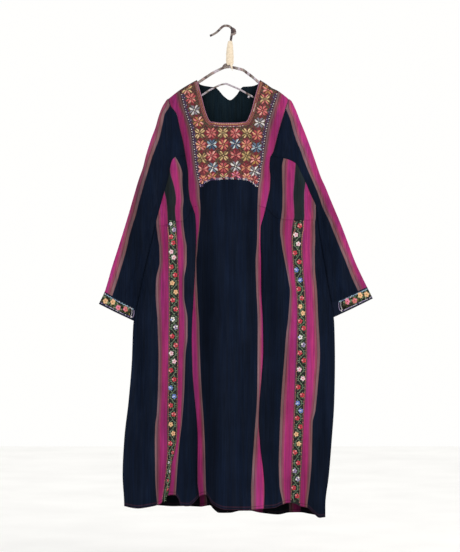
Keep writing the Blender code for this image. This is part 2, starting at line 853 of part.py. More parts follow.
def build_sleeve(side, collection, looks):
    table = SLEEVE_LEFT if side == "left" else SLEEVE_RIGHT
    rows = sleeve_rows(table, side)
    grid = []
    for row in rows:
        section = []
        for index, (u, d, edge) in enumerate(row[::-1]):
            y = float(front_y(np.array(u), np.array(d), 0.0, edge))
            at_fold = index == len(row) - 1
            section.append(place(u, d, 0.0 if at_fold else y))
        for u, d, edge in row[1:]:
            section.append(place(u, d, float(back_y(np.array(u), np.array(d), edge))))
        grid.append(section)
    flip = side == "right"
    sheet("sleeve_" + side, grid, flip, looks["cloth"], collection)
    outside = moved_out(grid, flip, APPLIED_GAP)
    last = len(grid) - 1
    first_column = 0 if side == "left" else 4
    cuff = part_of(outside, (last - 1, last), (first_column, len(grid[0]) - 1))
    sheet("cuff_" + side, cuff, flip, looks["cuff"], collection, APPLIED_WALL, 1.0)


def build_hanger(collection, looks):
    left = arm_inside(SHOULDER_LEFT, ARM_LIFT)
    right = arm_inside(SHOULDER_RIGHT, ARM_LIFT)
    frame = [FRAME_TOP + (1.0,)]
    frame += [(u, d, 1.0) for u, d in ARM_LEFT]
    frame += [(u, d, 1.0) for u, d in left]
    thin = BAR_RADIUS / ARM_RADIUS
    frame += [(u, d, thin) for u, d in LOWER_WIRE]
    frame += [(u, d, 1.0) for u, d in right[::-1]]
    frame += [(u, d, 1.0) for u, d in ARM_RIGHT]
    points = [(u + MIDDLE_X, NECK_Z - d, share) for u, d, share in frame]
    tube("hanger_frame", points, ARM_RADIUS, looks["wrap"], collection, cyclic=True)

    top_x = FRAME_TOP[0] + MIDDLE_X
    top_z = NECK_Z - FRAME_TOP[1]
    turned("hanger_neck", NECK_PROFILE, (top_x * MM, 0.0, top_z * MM), looks["tape"], collection)
    tube("hanger_hook", HOOK, HOOK_RADIUS, looks["wrap"], collection)


def main():
    for item in list(bpy.data.objects):
        bpy.data.objects.remove(item)
    collection = bpy.data.collections.new(NAME)
    bpy.context.scene.collection.children.link(collection)
    looks = {
        "cloth": material("black_cotton", CLOTH_BLACK, 0.9),
        "stitches": material("embroidered_cotton", STITCH_GROUND, 0.8),
        "binding": material("binding_cotton", BINDING_RED, 0.8),
        "ribbon": material("ribbon_cotton", RIBBON_BLACK, 0.75),
        "cuff": material("cuff_ribbon_cotton", CUFF_PEACH, 0.75),
        "wrap": material("wrapped_cloth_strip", WRAP_GREY, 0.9),
        "tape": material("cream_tape", TAPE_CREAM, 0.8),
    }
    build_dress(collection, looks)
    build_hanger(collection, looks)


main()
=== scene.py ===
"""Looks of an embroidered thobe dress on a wrapped wire hanger.

The garment's own plane is used throughout: u to the right of its middle and d down from the neck
points, in millimetres. Every sheet, ribbon and stitch takes its depth from the same two cloth surfaces.
"""
import json
import math
import bpy
import numpy as np
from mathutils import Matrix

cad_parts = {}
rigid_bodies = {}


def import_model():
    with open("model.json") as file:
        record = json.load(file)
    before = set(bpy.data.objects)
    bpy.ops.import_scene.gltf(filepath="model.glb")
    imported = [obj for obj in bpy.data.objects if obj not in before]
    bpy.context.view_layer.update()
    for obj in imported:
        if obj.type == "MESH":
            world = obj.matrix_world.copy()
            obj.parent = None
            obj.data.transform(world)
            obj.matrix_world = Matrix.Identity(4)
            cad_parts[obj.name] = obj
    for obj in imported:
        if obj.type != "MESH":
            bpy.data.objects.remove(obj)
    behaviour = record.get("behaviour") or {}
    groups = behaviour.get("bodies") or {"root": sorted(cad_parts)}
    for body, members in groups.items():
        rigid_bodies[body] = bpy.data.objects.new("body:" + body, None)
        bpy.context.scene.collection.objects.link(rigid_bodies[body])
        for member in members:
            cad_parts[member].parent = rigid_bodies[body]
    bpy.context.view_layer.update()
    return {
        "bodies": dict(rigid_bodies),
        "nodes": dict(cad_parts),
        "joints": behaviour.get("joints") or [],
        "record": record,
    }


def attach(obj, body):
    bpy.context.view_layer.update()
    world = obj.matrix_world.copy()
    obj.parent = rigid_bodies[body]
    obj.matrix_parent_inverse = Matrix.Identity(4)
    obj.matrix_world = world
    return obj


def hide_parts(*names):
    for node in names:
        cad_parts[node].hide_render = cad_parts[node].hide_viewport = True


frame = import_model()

MM = 0.001
MIDDLE_X = 6.2
NECK_Z = -165.4
PIXEL = 3.12
PIXEL_X = 228.0
PIXEL_Y = 80.0

CLOTH = 0.9
FOLD_RADIUS = 7.5
EDGE_GAP = 0.35
SLIT_HALF_GAP = 0.06
SWELL_LENGTH = 62.0
LEAST_HOLLOW = 5.0
SEAM_GAP = 0.04
SHOULDER_SLOPE = 1.16
HEM_LEVEL = 1329.0
HEM_BEND_TOP = 1080.0
TUCK_LEVEL = 388.0
TUCK_HEIGHT = 2.6
TUCK_RAMP = 30.0


class Smooth:
    """A smooth line through a table's points that doesn't overshoot them."""

    def __init__(self, xs, ys):
        self.xs = np.array(xs, dtype=float)
        self.ys = np.array(ys, dtype=float)
        step = np.diff(self.xs)
        slope = np.diff(self.ys) / step
        tangent = np.zeros(len(self.xs))
        tangent[0] = slope[0]
        tangent[-1] = slope[-1]
        for k in range(1, len(self.xs) - 1):
            if slope[k - 1] * slope[k] > 0:
                a = 2 * step[k] + step[k - 1]
                b = step[k] + 2 * step[k - 1]
                tangent[k] = (a + b) / (a / slope[k - 1] + b / slope[k])
        self.tangent = tangent

    def __call__(self, x):
        x = np.clip(np.asarray(x, dtype=float), self.xs[0], self.xs[-1])
        k = np.clip(np.searchsorted(self.xs, x, side="right") - 1, 0, len(self.xs) - 2)
        width = self.xs[k + 1] - self.xs[k]
        t = (x - self.xs[k]) / width
        a = (1 + 2 * t) * (1 - t) ** 2
        b = t * (1 - t) ** 2
        c = t * t * (3 - 2 * t)
        e = t * t * (t - 1)
        near = a * self.ys[k] + b * width * self.tangent[k]
        return near + c * self.ys[k + 1] + e * width * self.tangent[k + 1]


def u_of(x):
    return (np.asarray(x, dtype=float) - PIXEL_X) * PIXEL


def d_of(y):
    return (np.asarray(y, dtype=float) - PIXEL_Y) * PIXEL


def by_height(rows, column):
    """A width table in picture units as a line of u by d."""
    rows = np.array(rows, dtype=float)
    return Smooth(d_of(rows[:, 0]), u_of(rows[:, column]))


# Woven stripes of the front panel: height, seam, inner edge, then the shares of the stripe that show there
CENTRE_LEFT = (
    # y, x_seam, x_inner, share at the seam, share at the inner edge
    (78, 167.8, 178.6, 0.0, 1.0), (92, 168.2, 180.4, 0.0, 1.0), (100, 168.4, 182.3, 0.0, 1.0),
    (105, 169.8, 183.4, 0.0, 1.0),
    (115, 176.6, 186.3, 0.0, 1.0), (121, 178.0, 188.3, 0.0, 1.0), (130, 180.0, 191.0, 0.0, 1.0),
    (145, 183.5, 193.2, 0.0, 1.0),
    (160, 186.0, 194.8, 0.0, 1.0), (172, 188.0, 196.4, 0.0, 1.0), (187, 188.4, 199.6, 0.0, 1.0),
    (197, 189.4, 200.0, 0.0, 1.0),
    (203, 191.0, 200.1, 0.0, 0.95), (208, 193.0, 200.0, 0.1, 0.85), (217, 195.6, 199.6, 0.2, 0.66),
    (230, 196.2, 198.5, 0.3, 0.6),
    (240, 196.2, 197.3, 0.5, 0.7), (262, 195.6, 196.6, 0.8, 1.0), (278, 194.9, 197.0, 0.7, 1.0),
    (290, 194.2, 197.6, 0.6, 1.0),
    (305, 193.5, 198.3, 0.4, 1.0), (320, 192.5, 199.5, 0.2, 1.0), (340, 192.0, 200.0, 0.08, 1.0),
    (370, 192.5, 201.0, 0.0, 1.0),
    (390, 194.0, 202.0, 0.0, 1.0), (420, 197.0, 204.0, 0.08, 1.0), (440, 198.0, 205.0, 0.1, 1.0),
    (480, 197.5, 206.0, 0.0, 1.0),
    (500, 199.5, 206.5, 0.0, 1.0), (520, 200.0, 206.5, 0.0, 1.0),
)
CENTRE_RIGHT = (
    # y, x_seam, x_inner, share at the seam, share at the inner edge
    (78, 289.8, 280.6, 0.0, 1.0), (92, 289.0, 278.0, 0.0, 1.0), (100, 288.6, 275.6, 0.0, 1.0),
    (108, 286.0, 273.0, 0.0, 1.0),
    (118, 283.0, 270.0, 0.0, 1.0), (128, 280.0, 267.3, 0.0, 1.0), (138, 277.3, 265.5, 0.0, 1.0),
    (147, 275.0, 264.3, 0.0, 1.0),
    (153, 273.2, 263.6, 0.0, 1.0), (158, 270.2, 263.2, 0.0, 1.0), (168, 269.5, 261.3, 0.0, 1.0),
    (178, 270.4, 260.0, 0.0, 1.0),
    (188, 270.0, 258.0, 0.0, 1.0), (200, 267.6, 257.4, 0.0, 1.0), (207, 266.0, 257.2, 0.0, 1.0),
    (218, 263.0, 257.1, 0.3, 1.0),
    (228, 260.5, 257.0, 0.6, 1.0), (240, 260.2, 256.8, 0.55, 1.0), (262, 260.8, 255.2, 0.5, 1.0),
    (290, 261.0, 256.0, 0.5, 1.0),
    (320, 262.5, 257.3, 0.5, 1.0), (350, 263.0, 257.2, 0.45, 1.0), (380, 261.0, 257.0, 0.6, 1.0),
    (405, 259.0, 256.2, 0.75, 1.0),
    (420, 258.6, 255.0, 0.75, 1.0), (445, 260.0, 253.2, 0.45, 1.0), (470, 263.0, 251.5, 0.12, 1.0),
    (490, 264.4, 250.6, 0.0, 1.0),
    (520, 263.2, 251.0, 0.0, 1.0),
)
# Woven stripes of the gores: height, then the edges of the inner and of the outer stripe, inwards to outwards
GORE_LEFT_STRIPES = (
    # y, x_inner_a, x_inner_b, x_outer_a, x_outer_b
    (150, 172.0, 171.0, 165.0, 156.0), (156, 174.6, 172.0, 165.0, 156.0), (161, 178.0, 171.0, 165.0, 156.0),
    (167, 181.0, 169.8, 165.0, 156.0),
    (175, 183.0, 170.5, 165.0, 156.0), (183, 182.8, 173.0, 165.0, 156.0), (191, 183.3, 175.0, 165.0, 156.0),
    (200, 184.0, 176.0, 167.0, 156.0),
    (210, 183.2, 175.0, 167.8, 156.0), (222, 183.6, 176.0, 168.4, 156.0), (235, 185.0, 177.0, 168.9, 157.3),
    (248, 187.0, 177.6, 169.0, 159.2),
    (262, 187.0, 178.0, 169.2, 159.5), (280, 184.5, 179.0, 169.3, 156.0), (295, 184.5, 179.0, 169.5, 155.7),
    (320, 188.0, 178.9, 169.4, 157.5),
    (335, 188.0, 178.6, 169.2, 158.0), (355, 186.0, 178.4, 169.0, 158.6), (385, 185.0, 178.0, 168.5, 158.2),
    (412, 183.2, 177.6, 168.0, 157.0),
    (427, 181.7, 177.4, 168.0, 155.3), (440, 180.0, 176.8, 168.0, 155.0), (452, 178.9, 174.8, 167.8, 155.1),
    (465, 178.0, 171.5, 167.0, 155.3),
    (480, 177.0, 170.5, 165.8, 155.6), (503, 175.6, 166.5, 162.0, 157.3), (520, 175.0, 165.0, 160.0, 158.0),
)
GORE_RIGHT_STRIPES = (
    # y, x_inner_a, x_inner_b, x_outer_a, x_outer_b
    (150, 283.6, 297.0, 305.2, 316.0), (158, 283.0, 296.6, 305.2, 316.0), (167, 281.5, 295.7, 305.2, 316.0),
    (181, 281.7, 294.6, 305.0, 316.0),
    (195, 282.0, 293.5, 303.6, 316.0), (208, 281.7, 294.2, 303.7, 316.0), (216, 280.9, 294.4, 303.8, 316.0),
    (224, 279.8, 293.0, 302.8, 315.2),
    (232, 279.6, 291.8, 302.2, 315.3), (240, 280.6, 291.6, 301.9, 315.4), (250, 282.1, 292.0, 301.6, 315.0),
    (260, 284.1, 292.6, 302.1, 314.9),
    (270, 286.0, 293.8, 302.7, 315.1), (282, 288.2, 295.2, 303.6, 316.3), (291, 289.5, 296.2, 304.3, 317.1),
    (302, 288.9, 297.0, 305.1, 317.6),
    (318, 287.6, 297.4, 305.6, 318.2), (340, 285.0, 297.0, 306.0, 319.5), (354, 284.1, 296.5, 306.0, 320.0),
    (385, 281.5, 295.1, 305.1, 317.8),
    (410, 280.0, 294.1, 303.3, 315.2), (422, 279.5, 293.6, 302.8, 312.4), (440, 278.8, 292.7, 302.0, 312.0),
    (460, 278.2, 292.0, 301.1, 311.4),
    (485, 279.0, 291.0, 299.8, 309.4), (503, 282.4, 290.5, 299.5, 307.2), (520, 283.0, 290.0, 299.3, 306.5),
)
# Inner edge of the stripe that runs down each sleeve to its folded edge
SLEEVE_STRIPE_LEFT = (
    (96, 171.5), (106.5, 170.0), (115, 165.2), (125, 163.0), (138, 160.0), (151, 155.2), (160, 152.0),
    (170, 149.0), (190, 143.0),
    (201, 140.0), (215, 136.6), (225, 133.3), (237, 130.0), (250, 127.0), (267, 122.2), (281, 118.0),
    (293, 114.0), (300, 112.0),
)
SLEEVE_STRIPE_RIGHT = (
    (96, 284.0), (108, 285.4), (120, 289.8), (133, 293.3), (143, 296.7), (150, 299.8), (160, 303.2),
    (172, 308.0), (183, 312.8),
    (195, 317.8), (208, 322.4), (220, 328.0), (233, 333.2), (245, 338.0), (257, 343.0), (270, 348.2),
    (280, 352.2), (290, 357.0), (300, 361.0),
)

# Half of the neck opening, edges of the neck by distance down
NECK = np.array([
    # d, left, right
    (0, -97, 100), (62, -81, 83), (100, -71, 73), (128, -60, 62), (137, -56, 59), (187, -55, 59),
    (390, -53, 56), (1329, -44, 37),
], dtype=float)
NECK_BOTTOM = 137.0
NECK_CORNER_RISE = 7.0
NECK_MIDDLE = 1.5
NECK_HALF_WIDTH = 57.0
STRAP_REACH = 40.0

# Outer edges of the gores: along the sleeve's seam, round the underarm and down the side
GORE_EDGE_LEFT = (
    # u, d
    (-134, 236), (-150, 238), (-168, 244), (-178, 265), (-184, 300), (-195, 340), (-211, 396), (-228, 456),
    (-230, 464),
    (-240, 509), (-256, 574), (-277, 671), (-296, 768), (-300, 874), (-310, 998), (-324, 1123), (-329, 1232),
    (-324, 1329), (-324, 1410),
)
GORE_EDGE_RIGHT = (
    # u, d
    (136, 236), (156, 241), (193, 251), (215, 265), (228, 290), (240, 315), (257, 356), (275, 396),
    (280, 438),
    (285, 476), (298, 552), (316, 658), (332, 764), (334, 874), (332, 998), (324, 1123), (315, 1232),
    (304, 1329), (304, 1410),
)
UNDERARM_LEFT = 456.0
UNDERARM_RIGHT = 396.0

# Sleeves, one row per section from the shoulder to the mouth: folded upper edge, then lower edge
SLEEVE_LEFT = np.array([
    # u_fold, d_fold, u_lower, d_lower
    (-187, 59.5, -186, 60.5), (-190, 62, -185, 64), (-204, 84, -164, 100), (-215, 112, -156, 137),
    (-226, 150, -144, 187), (-239, 184, -134, 236),
    (-245, 203, -150, 238), (-251, 222, -168, 244), (-257, 243, -178, 265), (-265, 275, -184, 300),
    (-278, 312, -195, 340),
    (-292, 359, -211, 396), (-309, 418, -228, 456), (-326, 474, -240, 509), (-346, 537, -256, 574),
    (-362, 587, -268, 627),
    (-384, 661, -286, 714), (-402, 699, -293, 752),
], dtype=float)
SLEEVE_RIGHT = np.array([
    # u_fold, d_fold, u_lower, d_lower
    (190.5, 60.5, 189, 61.5), (197, 66, 188, 64), (211, 94, 177, 100), (223, 125, 166, 137),
    (237, 159, 151, 187), (250, 193, 136, 236),
    (257, 212, 156, 241), (268, 243, 193, 251), (279, 275, 215, 265), (290, 306, 228, 290),
    (303, 334, 240, 315),
    (318, 371, 257, 356), (334, 409, 275, 396), (356, 462, 285, 476), (378, 521, 298, 552),
    (396, 568, 308, 608),
    (433, 646, 322, 696), (451, 682, 328, 741),
], dtype=float)
SHOULDER_LEFT = ((-190, 62), (-181, 55), (-150, 31), (-119, 12), (-97, 0))
SHOULDER_RIGHT = ((100, 0), (119, 12), (137, 25), (156, 34), (175, 48), (197, 66))
BACK_NECK = (
    # u, d
    (-97, 0), (-90, 12), (-56, 20), (-41, 22), (-9, 53), (6, 62), (25, 48), (47, 20), (69, 19), (94, 12),
    (100, 0),
)

# Hems in picture units
HEM_FRONT = (
    (118, 505.8), (124, 506.0), (130, 507.0), (137, 507.5), (150, 505.5), (158, 504.0), (162, 502.0),
    (164, 497.4), (168, 495.5), (172, 494.6),
    (176, 494.6), (178, 496.0), (180, 504.4), (188, 504.5), (193, 502.0), (197, 498.5), (200, 495.6),
    (206, 494.2), (212, 502.5), (218, 506.0),
    (225, 507.8), (245, 508.0), (263, 507.0), (275, 506.4), (281, 504.0), (288, 502.2), (296, 503.0),
    (299.5, 505.0), (307, 506.6), (312, 511.0),
    (320, 517.2), (325.5, 517.0), (332, 516.0),
)
HEM_BACK = (
    (118, 505.0), (155, 505.5), (175, 507.3), (200, 507.3), (210, 505.8), (213, 509.0), (219, 513.6),
    (230, 514.0), (240, 512.2),
    (250, 512.2), (260, 514.0), (278, 514.8), (289, 513.0), (300, 513.2), (310, 514.8), (325.5, 516.4),
    (332, 516.0),
)

# Line of the waist fold, and how much of it stands out: it is pressed flat across the middle
TUCK = Smooth(
    (-330, -230, -200, -185, -172, -139, -128, -113, -60, 60, 108, 125, 150, 180, 240, 330),
    (458, 456, 455, 447, 441, 440, 432, 400, 388, 388, 396, 404, 430, 436, 437, 440),
)
TUCK_SHARE = Smooth((-330, -112, -98, -86, 86, 96, 108, 330), (1, 1, 0.6, 0, 0, 0.6, 1, 1))

SWELL_DEPTH = np.array([
    # d, front, back
    (0, 20, 14), (150, 27, 17), (420, 33, 20), (800, 36, 23), (1370, 50, 30),
], dtype=float)

FRONT_FOLDS = (
    # d_top, u_top, u_hem, width_left, width_right, depth: troughs are deep, ridges have a negative depth
    (640, -166, -186, 34, 40, 40), (760, -88, -77, 26, 30, 36), (690, 186, 187, 42, 44, 20),
    (420, -232, -248, 44, 44, -9),
    (560, -124, -120, 24, 22, -14), (470, -2, 40, 60, 70, -10), (560, 262, 265, 34, 34, -12),
)
BACK_FOLDS = (
    # d_top, u_top, u_hem, width_left, width_right, depth
    (520, 150, 160, 40, 44, 20), (640, -40, -60, 44, 40, 18), (700, -210, -225, 36, 40, 16),
    (420, 40, 55, 50, 50, -10),
    (560, 240, 250, 30, 30, -8), (560, -130, -140, 30, 34, -7), (480, 100, 96, 26, 30, -6),
)
# Creases in picture units: start, end, width and depth in millimetres; a negative depth stands out
FRONT_CREASES = (
    # x0, y0, x1, y1, width, depth
    (173, 118, 150, 230, 14, 4.5), (168, 150, 138, 262, 10, -3.5), (160, 196, 128, 300, 12, 4.0),
    (150, 236, 121, 300, 9, -2.5),
    (286, 118, 318, 226, 14, 4.5), (300, 160, 340, 262, 10, -3.5), (306, 190, 342, 300, 12, 4.0),
    (322, 250, 348, 298, 9, -2.5),
    (177, 118, 186, 172, 9, 3.5), (186, 132, 190, 196, 7, -2.0), (279, 122, 271, 172, 9, 3.0),
    (271, 156, 291, 160, 4, 2.2),
    (272, 153, 292, 156, 4, -1.6), (176, 196, 178, 300, 8, 2.5), (188, 206, 193, 300, 8, 4.0),
    (182, 230, 186, 340, 9, -3.0),
    (196, 224, 195, 330, 6, 4.5), (267, 208, 264, 300, 8, 4.0), (276, 212, 284, 310, 9, -3.0),
    (260, 224, 263, 400, 5, 3.5),
    (290, 222, 296, 300, 10, 2.5), (213, 200, 216, 330, 14, 3.0), (223, 300, 221, 470, 9, -3.0),
    (216, 330, 213, 480, 14, 4.0),
    (248, 196, 250, 330, 16, 2.0), (234, 210, 236, 480, 22, -2.5), (247, 380, 244, 500, 14, 2.5),
    (271, 330, 266, 430, 8, -3.5),
    (276, 360, 272, 500, 10, 3.5), (150, 250, 144, 330, 8, -3.0), (146, 300, 141, 420, 12, 3.5),
    (136, 330, 131, 480, 12, -2.5),
    (150, 390, 146, 500, 10, 3.0), (322, 340, 321, 440, 9, 3.0), (328, 350, 325, 490, 10, -2.5),
    (318, 430, 315, 506, 8, 3.0),
    (190, 380, 187, 500, 7, 3.5), (270, 440, 272, 505, 9, -3.0), (232, 90, 228, 118, 18, 0.0),
    (300, 330, 306, 460, 12, -1.5),
    (160, 330, 164, 470, 10, 2.0), (284, 330, 282, 460, 9, 2.0), (200, 250, 199, 420, 6, -1.5),
    (205, 212, 251, 216, 14, 1.2),
    (205, 190, 250, 188, 10, 1.0),
)
BACK_CREASES = (
    # x0, y0, x1, y1, width, depth
    (205, 120, 190, 230, 16, 3.0), (250, 118, 262, 226, 14, 3.0), (228, 104, 226, 210, 20, -2.5),
    (214, 200, 210, 420, 14, 3.0),
    (240, 220, 244, 480, 16, 3.5), (226, 260, 222, 500, 12, -3.0), (180, 210, 172, 400, 12, 3.0),
    (278, 206, 288, 410, 12, 3.0),
    (160, 260, 152, 470, 12, -3.0), (306, 250, 314, 460, 12, -3.0), (146, 300, 140, 490, 10, 3.0),
    (322, 320, 322, 490, 10, 3.0),
    (170, 130, 142, 250, 14, 4.0), (160, 190, 130, 298, 10, -3.0), (290, 130, 326, 246, 14, 4.0),
    (302, 186, 342, 300, 10, -3.0),
    (196, 300, 192, 500, 10, -2.5), (262, 300, 266, 500, 10, -2.5), (176, 158, 186, 208, 8, 2.0),
    (282, 158, 272, 208, 8, 2.0),
)


def curve_rows(table, steps):
    """Each column of a table made smooth over its rows."""
    index = np.arange(len(table), dtype=float)
    at = np.linspace(0, len(table) - 1, (len(table) - 1) * steps + 1)
    return at, [Smooth(index, table[:, column])(at) for column in range(table.shape[1])]


def nearest(u, d, line):
    """Least distance from each point to a line of points."""
    best = np.full(np.shape(u), 1e9)
    for start, end in zip(line[:-1], line[1:]):
        run = end - start
        along = np.clip(((u - start[0]) * run[0] + (d - start[1]) * run[1]) / (run @ run), 0.0, 1.0)
        best = np.minimum(best, (u - start[0] - along * run[0]) ** 2 + (d - start[1] - along * run[1]) ** 2)
    return np.sqrt(best)


SEAM_LEFT = by_height(CENTRE_LEFT, 1)
SEAM_RIGHT = by_height(CENTRE_RIGHT, 1)
INNER_LEFT = by_height(CENTRE_LEFT, 2)
INNER_RIGHT = by_height(CENTRE_RIGHT, 2)
EDGE_LEFT = Smooth([d for _, d in GORE_EDGE_LEFT], [u for u, _ in GORE_EDGE_LEFT])
EDGE_RIGHT = Smooth([d for _, d in GORE_EDGE_RIGHT], [u for u, _ in GORE_EDGE_RIGHT])
SHOULDERS = (
    Smooth([u for u, _ in SHOULDER_LEFT], [d for _, d in SHOULDER_LEFT]),
    Smooth([u for u, _ in SHOULDER_RIGHT], [d for _, d in SHOULDER_RIGHT]),
)
NECK_LEFT = Smooth(NECK[:, 0], NECK[:, 1])
NECK_RIGHT = Smooth(NECK[:, 0], NECK[:, 2])


def top_line(side):
    """Shoulder and folded upper edge of the sleeve in one line."""
    shoulder = SHOULDER_LEFT if side == "left" else SHOULDER_RIGHT[::-1]
    smooth = SHOULDERS[0] if side == "left" else SHOULDERS[1]
    us = np.linspace(shoulder[-1][0], shoulder[0][0], 30)
    table = SLEEVE_LEFT if side == "left" else SLEEVE_RIGHT
    _, (u, d, _, _) = curve_rows(table[1:], 6)
    return np.vstack([np.stack([us, smooth(us)], axis=1), np.stack([u, d], axis=1)[1:]])


def slit_line(side):
    edge, top = (EDGE_LEFT, UNDERARM_LEFT) if side == "left" else (EDGE_RIGHT, UNDERARM_RIGHT)
    d = np.concatenate([np.linspace(top, 800, 50), np.linspace(812, 1410, 24)])
    return np.stack([edge(d), d], axis=1)


TOP_LINES = (top_line("left"), top_line("right"))
SLIT_LINES = (slit_line("left"), slit_line("right"))


def soft_least(a, b, reach):
    """The lesser of two distances, without a sharp ridge where they are equal."""
    gap = np.clip(reach - np.abs(a - b), 0.0, None)
    near = np.clip(np.minimum(a, b) / 12.0, 0.0, 1.0)
    return np.minimum(a, b) - near * gap * gap / (4.0 * reach)


def inset(u, d):
    top = np.minimum(nearest(u, d, TOP_LINES[0]), nearest(u, d, TOP_LINES[1]))
    side = np.minimum(nearest(u, d, SLIT_LINES[0]), nearest(u, d, SLIT_LINES[1])) - SLIT_HALF_GAP
    return np.maximum(soft_least(top, side, 26.0), 0.0)


def swell(s, most):
    """Round at the fold, then a slow rise to the most."""
    near = np.sqrt(np.clip(s * (2 * FOLD_RADIUS - s), 0.0, None))
    far = FOLD_RADIUS + (most - FOLD_RADIUS) * (1 - np.exp(-(s - FOLD_RADIUS) / SWELL_LENGTH))
    return np.where(s < FOLD_RADIUS, near, far)


def long_folds(u, d, folds):
    total = np.zeros(np.shape(u))
    for d_top, u_top, u_hem, left, right, depth in folds:
        share = np.clip((d - d_top) / (1327.0 - d_top), 0.0, 1.1)
        middle = u_top + (u_hem - u_top) * share
        width = np.where(u < middle, left, right)
        total += depth * share ** 1.25 * np.exp(-((u - middle) / width) ** 2)
    return total


def creases(u, d, table):
    """Small soft folds that run from one point to another and fade at both ends."""
    total = np.zeros(np.shape(u))
    for index, (x0, y0, x1, y1, width, depth) in enumerate(table):
        u0, d0, u1, d1 = u_of(x0), d_of(y0), u_of(x1), d_of(y1)
        run_u, run_d = u1 - u0, d1 - d0
        length = math.hypot(run_u, run_d)
        along = ((u - u0) * run_u + (d - d0) * run_d) / length ** 2
        across = ((u - u0) * run_d - (d - d0) * run_u) / length
        across = across + 0.35 * width * np.sin(along * 5.0 + index * 1.7)
        fade = np.clip(along * 4.0 + 0.25, 0.0, 1.0) * np.clip((1.0 - along) * 4.0 + 0.25, 0.0, 1.0)
        fade = fade * fade * (3 - 2 * fade)
        total += depth * fade * np.exp(-(across / width) ** 2)
    return total


def ripple(u, d):
    """Unevenness of washed cotton, a fraction of a millimetre."""
    wave = np.sin(u / 9.7 + 2.1 * np.sin(d / 61.0)) * np.sin(d / 47.0 + 1.3 * np.sin(u / 23.0))
    fine = np.sin(u / 4.6 + d / 33.0 + 1.1) * np.sin(d / 19.0 - u / 41.0)
    return 0.35 * wave + 0.14 * fine


def seam_pinch(u, d):
    """The cloth draws in a little along the sewn seams."""
    near = np.minimum(np.abs(u - SEAM_LEFT(d)), np.abs(u - SEAM_RIGHT(d)))
    return 1.1 * np.exp(-(near / 3.2) ** 2) * np.clip((d - 66.0) / 30.0, 0.0, 1.0)


def front_depth(u, d, upper=None):
    """Depth of the front's face, negative towards the viewer.

    upper says which side of the waist fold a point is on.
    """
    s = inset(u, d)
    body = swell(s, np.interp(d, SWELL_DEPTH[:, 0], SWELL_DEPTH[:, 1]))
    soft = np.clip((s - 3.0) / 25.0, 0.0, 1.0)
    folded = body - soft * (long_folds(u, d, FRONT_FOLDS) + creases(u, d, FRONT_CREASES))
    folded = folded - np.clip(s / 20.0, 0.0, 1.0) * (ripple(u, d) + seam_pinch(u, d))
    least = np.minimum(body, LEAST_HOLLOW)
    over = folded - least
    folded = least + 0.5 * (over + np.sqrt(over * over + 9.0)) - 1.5 * np.exp(-np.abs(over) / 6.0)
    folded = np.where(s < 4.0, np.minimum(folded, body), folded)
    fold_d = TUCK(u)
    above = d <= fold_d + 0.01 if upper is None else upper
    ramp = np.clip((d - fold_d + TUCK_RAMP) / TUCK_RAMP, 0.0, 1.0)
    step = TUCK_HEIGHT * TUCK_SHARE(u) * ramp ** 1.5 * above
    return -(folded + EDGE_GAP + soft * step)


def back_depth(u, d, upper=None):
    s = inset(u, d)
    body = swell(s, np.interp(d, SWELL_DEPTH[:, 0], SWELL_DEPTH[:, 2]))
    soft = np.clip((s - 3.0) / 25.0, 0.0, 1.0)
    folded = body - soft * (long_folds(u, d, BACK_FOLDS) + creases(u, d, BACK_CREASES))
    folded = folded - np.clip(s / 20.0, 0.0, 1.0) * (ripple(u + 31.0, d + 57.0) + seam_pinch(u, d))
    least = np.minimum(body, LEAST_HOLLOW)
    over = folded - least
    folded = least + 0.5 * (over + np.sqrt(over * over + 9.0)) - 1.5 * np.exp(-np.abs(over) / 6.0)
    folded = np.where(s < 4.0, np.minimum(folded, body), folded)
    return folded + EDGE_GAP


class Face:
    """One face of the dress, read off a fine table of its depth, for the pieces and stitches laid on it."""

    STEP = 2.5
    U0 = -430.0
    D0 = -10.0

    def __init__(self, depth, sign):
        self.sign = sign
        us = np.arange(self.U0, 480.0, self.STEP)
        ds = np.arange(self.D0, 1400.0, self.STEP)
        grid_u, grid_d = np.meshgrid(us, ds)
        self.table = depth(grid_u, grid_d)
        self.slope_d, self.slope_u = np.gradient(self.table, self.STEP)

    def read(self, table, u, d):
        a = np.clip((u - self.U0) / self.STEP, 0, table.shape[1] - 1.001)
        b = np.clip((d - self.D0) / self.STEP, 0, table.shape[0] - 1.001)
        i, j = a.astype(int), b.astype(int)
        s, t = a - i, b - j
        top = table[j, i] * (1 - s) + table[j, i + 1] * s
        low = table[j + 1, i] * (1 - s) + table[j + 1, i + 1] * s
        return top * (1 - t) + low * t

    def points(self, u, d, lift):
        """Points on the face, lifted along its own normal, in metres."""
        y = self.read(self.table, u, d)
        normal = np.stack(
            [-self.read(self.slope_u, u, d), np.ones_like(y), self.read(self.slope_d, u, d)], axis=-1
        )
        normal /= np.linalg.norm(normal, axis=-1, keepdims=True)
        placed = np.stack([u + MIDDLE_X, y, NECK_Z - d], axis=-1)
        return (placed + normal * (self.sign * np.asarray(lift)[..., None])) * MM


FRONT = Face(front_depth, -1.0)


def collection_named(name):
    made = bpy.data.collections.new(name)
    bpy.context.scene.collection.children.link(made)
    return made


DRESS = collection_named("dress")


